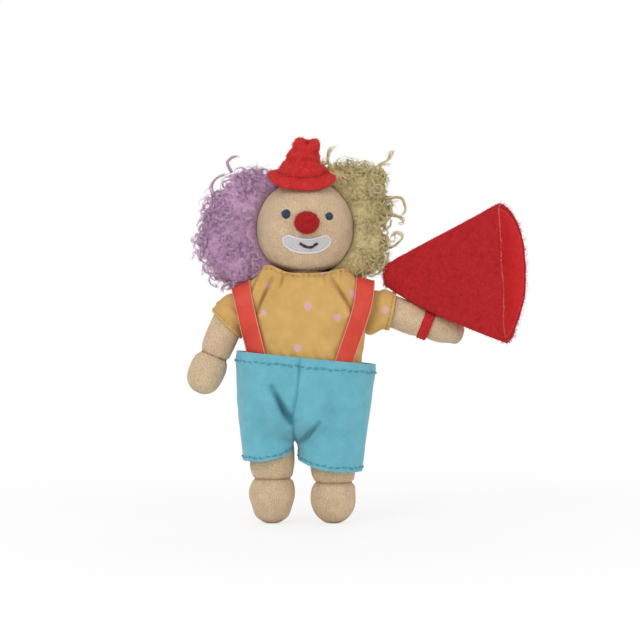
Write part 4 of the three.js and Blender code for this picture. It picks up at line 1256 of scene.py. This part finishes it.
def cone_ring(s, grow):
    """A section of the megaphone: a flat panel in front, joined along two creases to one that bulges back."""
    share = s / CONE_LENGTH
    half = CONE_HALF[0] + CONE_HALF[1] * share + grow
    depth = CONE_DEPTH[0] + CONE_DEPTH[1] * share + 2 * grow
    bulge = [[depth * math.cos(a) - grow, half * math.sin(a), math.cos(a)]
             for a in np.linspace(-math.pi / 2, math.pi / 2, RING_COLS - PANEL_COLS)]
    panel = [[-grow - 1.0 - 0.7 * (1 - v * v), half * v, 0]
             for v in np.linspace(1, -1, PANEL_COLS + 2)[1:-1]]
    back, up, behind = np.array(bulge + panel).T
    up = up - CONE_BELLY * math.sin(math.pi * share**0.65) * np.clip(-up / half, 0, 1) ** 2
    short = (MOUTH_TRIM + MOUTH_TILT * up / half) * (1 - behind) * share
    short -= MOUTH_FAR * share**2 * behind * (0.6 + 0.4 * up / half)
    points = CONE_START + CONE_AXIS * s + back[:, None] * CONE_ACROSS + up[:, None] * UP
    return points - short[:, None] * CONE_AXIS


def cone_wall(name, outer, inner, ends, material, slot, node):
    """A closed wall between an outer and an inner face of the megaphone."""
    steps, seed = np.linspace(*ends, 90), CRUMPLE_SEED
    outside, inside = (np.array([cone_ring(s, grow) for s in steps]) for grow in (outer, inner))
    crumple = unevenness(outside, (7, seed, 0.5), (2.6, seed + 5, 0.16))
    shift = CONE_ACROSS * (crumple * smoothstep(0, 4, steps)[:, None])[..., None]
    height = outside[0, :, 2] - CONE_START[2]
    ragged = unevenness(outside[0], (1.1, seed, 0.55), (2.8, seed + 1, 0.5))
    ragged += 1.5 * np.clip(height / 4, 0, 1) ** 1.5 - 0.5 * np.cos(height * 0.3)
    torn = 0.22 * wobble(outside[-1], 0.9, seed + 7)
    wave = 0.8 * smoothstep(0.65, 1.0, steps / CONE_LENGTH)[:, None] * wobble(outside * UP, 13, seed + 2)
    wave = wave + smoothstep(5, 0, steps)[:, None] * ragged
    wave = wave + smoothstep(CONE_LENGTH - 2.5, CONE_LENGTH, steps)[:, None] * torn
    outside = outside + shift + CONE_AXIS * wave[..., None]
    inside = inside + shift * 0.8 + CONE_AXIS * wave[..., None]
    wall = closed_loop(name, np.concatenate([outside, inside[::-1], outside[:1]]), material)
    dress(wall, "megaphone", node, slot=slot)
    return wall, outside, inside


def make_megaphone():
    felt, outside, inside = cone_wall("megaphone_felt_wall", 0.0, -FELT_WALL, (0.0, CONE_LENGTH), CONE_FELT,
                                      "red_felt", "megaphone_felt")
    lined = -FELT_WALL - 0.1
    cone_wall("megaphone_lining_wall", lined, lined - LINING_WALL, (0.4, CONE_LENGTH - 0.35), LINING,
              "lining_felt", "megaphone_lining")
    middle = outside[-1] * 0.55 + inside[-1] * 0.45 + CONE_AXIS * 0.1
    panel = spline(middle[RING_COLS - PANEL_COLS - 2:], 260)
    bumps = 0.27 * (1 + 0.5 * wobble(panel, 0.8, 3.0) + 0.35 * wobble(panel, 2.5, 8.0))
    wavy = panel + wobble(panel, 0.7, 1.0)[:, None] * CONE_AXIS * 0.2
    # the cut edge, paler than the felt as a painted highlight
    dress(single_thread("megaphone_cut_edge", wavy, bumps, FELT_EDGE_HIGHLIGHT, 7), "megaphone", slot="red_felt")
    fuzz("megaphone_fuzz", *surface_samples(felt, 43), CONE_FELT, CONE_FUZZ, 44, "megaphone", "red_felt")
    forwards = np.tile(CONE_AXIS, (len(panel), 1))
    fuzz("megaphone_edge_fuzz", panel, forwards, FELT_EDGE_HIGHLIGHT, EDGE_FUZZ, 45, "megaphone", "red_felt")
    ends = np.concatenate([outside[0], outside[1], inside[0], outside[-1]])
    away = np.concatenate([np.tile(-CONE_AXIS, (3 * RING_COLS, 1)), np.tile(CONE_AXIS, (RING_COLS, 1))])
    fuzz("megaphone_end_fuzz", ends, away, CONE_FELT, END_FUZZ, 46, "megaphone", "red_felt")


# The elastic's section: along the arm from its bend, and out from the arm's middle.
ELASTIC_SECTION = [(-1.35, 4.75), (-1.4, 5.4), (-1.2, 5.7), (-0.1, 5.78), (0.9, 5.78), (2.0, 5.7), (2.2, 5.4),
                   (2.15, 4.75)]
ELASTIC_MIDDLE = 0.4
RIB_PITCH = 1.05


def make_elastic():
    """A ribbed elastic that lies in the crease of the left arm and goes up under the megaphone."""
    direction = arm_direction("left")
    turns = full_turn(240)
    rows = []
    for s, r in spline(ELASTIC_SECTION, 40):
        off = s - ELASTIC_MIDDLE
        rib = 0.026 * math.cos(off * 2 * math.pi / RIB_PITCH) if abs(off) < 1.6 else 0
        ribbed = r * (1 + 0.004 * np.cos(turns * 60) + rib)
        rows.append(ring_about(SHOULDER["left"] + direction * (ELBOW_AT + s), direction, turns, ribbed))
    band = closed_loop("megaphone_elastic_band", np.array(rows + rows[:1]), ELASTIC, with_uvs=False)
    dress(band, "megaphone", "megaphone_elastic", slot="elastic")


# Hair

# How far the hair stands out of the head as seen from the front, by degrees above the horizontal.
HAIR_REACH = {
    "right": [(-65, 8), (-50, 11.5), (-40, 15.5), (-28, 20.4), (-16, 22.8), (-7, 22.8), (5, 20.4), (14, 19.6),
              (23, 17), (37, 15.6), (43, 14.2), (50, 9.0), (60, 5.4), (68, 3.8)],
    "left": [(-62, 3), (-50, 6.5), (-40, 9.8), (-30, 13), (-24, 14.2), (-14, 12.6), (0, 11), (13, 12.6),
             (21, 13.4), (30, 16.4), (40, 18.2), (53, 15.4), (64, 11), (76, 7)],
}
# The two far corners of the space that each side's locks keep to, from the middle of the doll.
HAIR_BOX = {
    "right": (np.array([-44.0, -13.5, 82.6]), np.array([2.6, 28.5, 134.0])),
    "left": (np.array([-2.6, -13.5, 86.6]), np.array([38.5, 28.5, 138.5])),
}
# The single curls that stand out of the mass, as seen from the front: across and up.
LOOSE_CURLS = {
    "right": [[(-26.5, 127.5), (-28, 131), (-26, 133), (-22.8, 133.2)],
              [(-33, 118.5), (-34, 122.4), (-31.6, 125.4), (-27, 127)],
              [(-27, 86.6), (-29.2, 85.6), (-29.6, 83.2)]],
    "left": [[(28.5, 117.6), (34.6, 118.2), (36.4, 114), (34, 111)],
             [(29, 112), (33.6, 111.5), (36, 109.5), (33.6, 108.6)],
             [(28, 99.4), (31.6, 100.2), (35.2, 103.8), (33.6, 105.2), (31, 104), (31.6, 102.9)],
             [(26.5, 129.8), (30, 131.8), (31.4, 134.6), (29.6, 133)],
             [(10.5, 127.5), (8.4, 131.5), (9.2, 135.2), (12, 136.6)]],
}
HAIR_TONE = {"right": LILAC, "left": STRAW}
# the mass under the curls takes the darker copies, as painted shade
MASS_PAINTED_SHADE = {"right": LILAC_PAINTED_SHADE, "left": STRAW_PAINTED_SHADE}
HAIR_SLOT = {"right": "lilac_curls", "left": "straw_curls"}
HAIR_SEED = {"right": 3, "left": 4}
LOCK_POINTS = 17
ROOTS_OUT = 1.4  # a lock's root lies at least this far out of the skin
HAT_CLEAR_R = 12.2  # above the brim, locks keep this far from the axis of the hat
MASS_SHARE = 0.86  # of the hair's reach
MASS_ROWS, MASS_COLS = 150, 170
MASS_OFF = 0.15  # the mass's inner side stands off the skin by this, so the two don't fight
# Sink is how deep a lock is rooted. Rise, drift along the mass and curl go from a least to a greatest value.
Layer = namedtuple("Layer", "name locks strands thickness spread sink rise drift curl")
HAIR_LAYERS = [
    Layer("fluff", 290, 8, 0.11, 0.55, 1.0, rise=(0.4, 1.6), drift=(4.0, 9.0), curl=(0.9, 1.8)),
    Layer("curls", 300, 8, 0.085, 0.42, 0.6, rise=(0.8, 3.2), drift=(3.0, 8.0), curl=(1.1, 2.3)),
    Layer("wisps", 200, 3, 0.05, 0.4, 0.4, rise=(2.0, 5.5), drift=(0.0, 4.0), curl=(1.4, 2.8)),
]


def along_hat(points):
    """How far points, given from the middle of the head, lie along the axis of the hat."""
    return points @ np.array([0, -math.sin(HAT_TILT), math.cos(HAT_TILT)])


def lock(start, outward, length, curls, rng):
    """The middle line of one curly lock that grows outward, coils and hangs."""
    curl, turns = rng.uniform(*curls), rng.uniform(1.2, 2.8)
    twist, droop = rng.uniform(0, 6.28), rng.uniform(0, 1.2)
    t = np.linspace(0, 1, LOCK_POINTS)
    side = unit(np.cross(outward, rng.normal(size=3)))
    other = np.cross(outward, side)
    angle = twist + turns * 2 * math.pi * t
    radius = curl * smoothstep(0.0, 0.3, t)
    line = start + np.outer(t * length, outward)
    line = line + np.outer(np.cos(angle) * radius, side) + np.outer(np.sin(angle) * radius, other)
    line[:, 2] -= droop * t**2
    return line


def add_strands(threads, line, count, spread, thickness, rng):
    """Adds fine fibres that follow a line side by side and part towards its tip."""
    length = len(line)
    t = np.linspace(0, 1, length)
    tangent = unit_rows(np.gradient(line, axis=0))
    side = unit_rows(np.cross(tangent, [0.2, 0.31, 0.93]))
    other = np.cross(tangent, side)
    for _ in range(count):
        angle, reach = rng.uniform(0, 2 * math.pi), spread * math.sqrt(rng.uniform())
        turns = (angle + rng.uniform(-3.0, 3.0) * t)[:, None]
        apart = (reach * (0.5 + 0.8 * t))[:, None]
        path = line + side * (np.cos(turns) * apart) + other * (np.sin(turns) * apart)
        last = max(int(length * rng.uniform(0.7, 1.0)), 8)
        threads.add(path[:last], thickness * np.linspace(1, 0.6, last), 3)


def hair_direction(side, turn, lift):
    """A direction from the middle of the head, by degrees round from the front and degrees up."""
    turn, lift = math.radians(turn), math.radians(lift)
    return np.array([OUTWARD[side] * math.sin(turn) * math.cos(lift), -math.cos(turn) * math.cos(lift),
                     math.sin(lift)])


def hair_reach(side, direction):
    x, y, z = direction
    full = look_up(math.degrees(math.atan2(z, abs(x))), HAIR_REACH[side])
    return full * (0.4 + 0.6 * math.hypot(x, z)) * (0.85 if y > 0.6 else 1.0)


def hair_allowed(line, side):
    """Whether a lock stays off the face, under the hat, above the shoulders and in its own half."""
    local = line - HEAD
    low, high = HAIR_BOX[side]
    if np.any(line[1:] < low) or np.any(line[1:] > high):
        return False
    if np.linalg.norm(local[2:], axis=1).min() < HEAD_R - 0.5:
        return False
    if np.any((local[:, 1] < -1.5) & (np.hypot(local[:, 0], local[:, 2]) < HEAD_R - 0.4)):
        return False
    along = along_hat(local)
    off_axis = np.linalg.norm(local, axis=1) ** 2 - along**2
    return not np.any((along > BRIM_EDGE - 2) & (off_axis < HAT_CLEAR_R**2))


def make_layer(side, layer, roots, normals, rng):
    """One layer of locks that are rooted in the woolly mass."""
    threads, made = Threads(), 0
    for i in rng.permutation(len(roots)):
        if made == layer.locks:
            break
        if np.linalg.norm(roots[i] - HEAD) < HEAD_R + ROOTS_OUT:
            continue
        rise = rng.uniform(*layer.rise)
        aside = unit(np.cross(normals[i], rng.normal(size=3)))
        drift = rng.uniform(*layer.drift)
        start = roots[i] - normals[i] * layer.sink
        outward = unit(normals[i] * rise + aside * drift)
        line = lock(start, outward, math.hypot(rise, drift), layer.curl, rng)
        if hair_allowed(line, side):
            add_strands(threads, line, layer.strands, layer.spread, layer.thickness, rng)
            made += 1
    dress(threads.build(f"{side}_hair_{layer.name}", HAIR_TONE[side]), "head", slot=HAIR_SLOT[side])


def make_loose_curls(side, rng):
    threads = Threads()
    for curl in LOOSE_CURLS[side]:
        for _ in range(3):
            flat = spline(curl, 22)
            deep = rng.uniform(-3, 6) + 1.5 * np.sin(np.linspace(0, 3, len(flat)) + rng.uniform(0, 6))
            line = np.stack([flat[:, 0], deep, flat[:, 1]], axis=-1) + rng.normal(size=3) * 0.35
            add_strands(threads, line, 9, 0.5, 0.085, rng)
    dress(threads.build(f"{side}_hair_loose", HAIR_TONE[side]), "head", slot=HAIR_SLOT[side])


def mass_depth(side, turn, lift):
    """How thick the woolly mass is in a direction: it starts behind the face and ends under the hat."""
    d = hair_direction(side, turn, lift)
    full = MASS_SHARE * hair_reach(side, d) * smoothstep(80, 92, turn) ** 0.5
    full *= smoothstep(-68, -52, lift) * smoothstep(96, 66, lift)
    along = along_hat(d)
    if along > 0.5:
        full = min(full, max((BRIM_EDGE - 1.6) / along - HEAD_R, 0.6))
    return full


def make_mass(side):
    """The dense woolly mass under the curls of one side, in a darker copy of their colours as painted shade.
    """
    rows, cols = MASS_ROWS, MASS_COLS
    outer = np.empty((rows, cols, 3))
    inner = np.empty((rows, cols, 3))
    for i, lift in enumerate(np.linspace(-66, 86, rows)):
        for j, turn in enumerate(np.linspace(82, 179.4, cols)):
            d = hair_direction(side, turn, lift)
            outer[i, j] = HEAD + d * (HEAD_R + 2 * MASS_OFF + mass_depth(side, turn, lift))
            inner[i, j] = HEAD + d * (HEAD_R + MASS_OFF)
    curls = unevenness(outer, (3.4, 5.0, 1.2), (1.5, 9.0, 0.75), (0.75, 2.0, 0.35))
    deep = np.linalg.norm(outer - inner, axis=-1)
    outer += unit_rows(outer - HEAD) * (curls * smoothstep(0.3, 5, deep))[..., None]
    if side == "right":
        outer, inner = outer[:, ::-1], inner[:, ::-1]
    first = rows * cols
    faces = grid_faces(rows, cols, False)
    faces += [tuple(first + k for k in reversed(face)) for face in faces]
    ring = [(0, j) for j in range(cols)] + [(i, cols - 1) for i in range(1, rows)]
    ring += [(rows - 1, j) for j in range(cols - 2, -1, -1)] + [(i, 0) for i in range(rows - 2, 0, -1)]
    border = [i * cols + j for i, j in ring]
    for here, there in zip(border, border[1:] + border[:1]):
        faces.append((here, first + here, first + there, there))
    verts = np.concatenate([outer.reshape(-1, 3), inner.reshape(-1, 3)])
    mass = finish_mesh(f"{side}_hair_mass", verts, faces, MASS_PAINTED_SHADE[side])
    dress(mass, "head", f"{side}_hair", slot=HAIR_SLOT[side])
    return mass


def make_hair(side):
    mass = make_mass(side)
    rng = np.random.default_rng(HAIR_SEED[side])
    roots, normals = surface_samples(mass, HAIR_SEED[side] + 30)
    for layer in HAIR_LAYERS:
        make_layer(side, layer, roots, normals, rng)
    make_loose_curls(side, rng)


# Room, light and camera

FLOOR_NEAR, FLOOR_FAR = 0.03, 0.32  # from the doll in metres, where the floor's faint shadow ends
FLOOR_WHITE = 0.72  # how white the floor looks under the doll by itself
WORLD_LIGHT = 0.72
WHITE_LIGHT = (255, 255, 255)
CAMERA_AT = (-0.0122, -0.644, 0.0736)
# Name, place, aim, width and power of each lamp.
LAMPS = [
    ("key", (-0.45, -0.75, 0.65), (0, 0, 0.07), 0.6, 2.9),
    ("fill", (0.6, -0.65, 0.35), (0, 0, 0.07), 0.7, 1.25),
    ("back", (0.1, 0.7, 0.7), (0, 0, 0.08), 0.6, 1.0),
]


def make_floor():
    """A white floor that shows a faint shadow near the doll and none far away."""
    bpy.ops.mesh.primitive_plane_add(size=6)
    floor = bpy.context.object
    floor.name = "floor"
    s = Shader("pale floor", 0.9, shine=0.0)
    s.colour(s.mix(s.noise(40, 2), (250, 250, 250), (252, 252, 252)))
    glow = s.node("Emission", {"Color": WHITE_LIGHT, "Strength": 1.0})
    distance = s.node("VectorMath", {0: s.coords.outputs["Object"]}, operation="LENGTH")
    near = s.remap(distance.outputs["Value"], FLOOR_NEAR, FLOOR_FAR, FLOOR_WHITE, 1.0)
    seen = s.maths("MULTIPLY", s.node("LightPath").outputs["Is Camera Ray"], near)
    both = s.node("MixShader", {0: seen, 1: s.shader.outputs["BSDF"], 2: glow.outputs["Emission"]})
    set_inputs(s.tree, s.tree.nodes["Material Output"], {"Surface": both.outputs["Shader"]})
    floor.data.materials.append(s.material)


def make_world():
    """Soft light from all sides, in front of a plain white background."""
    world = bpy.data.worlds.new("studio")
    bpy.context.scene.world = world
    world.use_nodes = True
    tree = world.node_tree
    tree.nodes.clear()
    soft, plain = (add_node(tree, "Background", {"Color": WHITE_LIGHT, "Strength": strength}).outputs[0]
                   for strength in (WORLD_LIGHT, 1.0))
    path = add_node(tree, "LightPath")
    seen = path.outputs["Is Camera Ray"]
    for ray in ("Is Glossy Ray", "Is Transmission Ray"):
        either = add_node(tree, "Math", {0: seen, 1: path.outputs[ray]}, operation="ADD", use_clamp=True)
        seen = either.outputs["Value"]
    mix = add_node(tree, "MixShader", {0: seen, 1: soft, 2: plain})
    add_node(tree, "OutputWorld", {"Surface": mix.outputs["Shader"]})


def add_lamp(name, location, target, size, power):
    data = bpy.data.lights.new(name, "AREA")
    data.shape = "SQUARE"
    data.size = size
    data.energy = power
    lamp = bpy.data.objects.new(name, data)
    bpy.context.scene.collection.objects.link(lamp)
    lamp.location = location
    lamp.rotation_euler = (Vector(target) - Vector(location)).to_track_quat("-Z", "Y").to_euler()


def make_camera():
    data = bpy.data.cameras.new("camera")
    data.lens = 100
    data.sensor_width = 36
    data.clip_start = 0.01
    camera = bpy.data.objects.new("camera", data)
    bpy.context.scene.collection.objects.link(camera)
    camera.location = CAMERA_AT
    camera.rotation_euler = (math.radians(90), 0, 0)
    bpy.context.scene.camera = camera
    bpy.context.scene.view_settings.view_transform = "Standard"


make_camera()
make_head()
for one in SIDES:
    make_eye(one)
make_mouth()
make_nose()
make_torso()
make_neck()
clothes = [make_shirt()]
for one in SIDES:
    make_arm(one)
    make_leg(one)
    clothes.append(make_sleeve(one))
    make_shorts(one)
upper_clothes = surface_tree(clothes)
for one in SIDES:
    make_suspender(one, upper_clothes)
make_hat()
make_megaphone()
make_elastic()
for one in SIDES:
    make_hair(one)
make_floor()
make_world()
for lamp in LAMPS:
    add_lamp(*lamp)

bpy.context.view_layer.update()
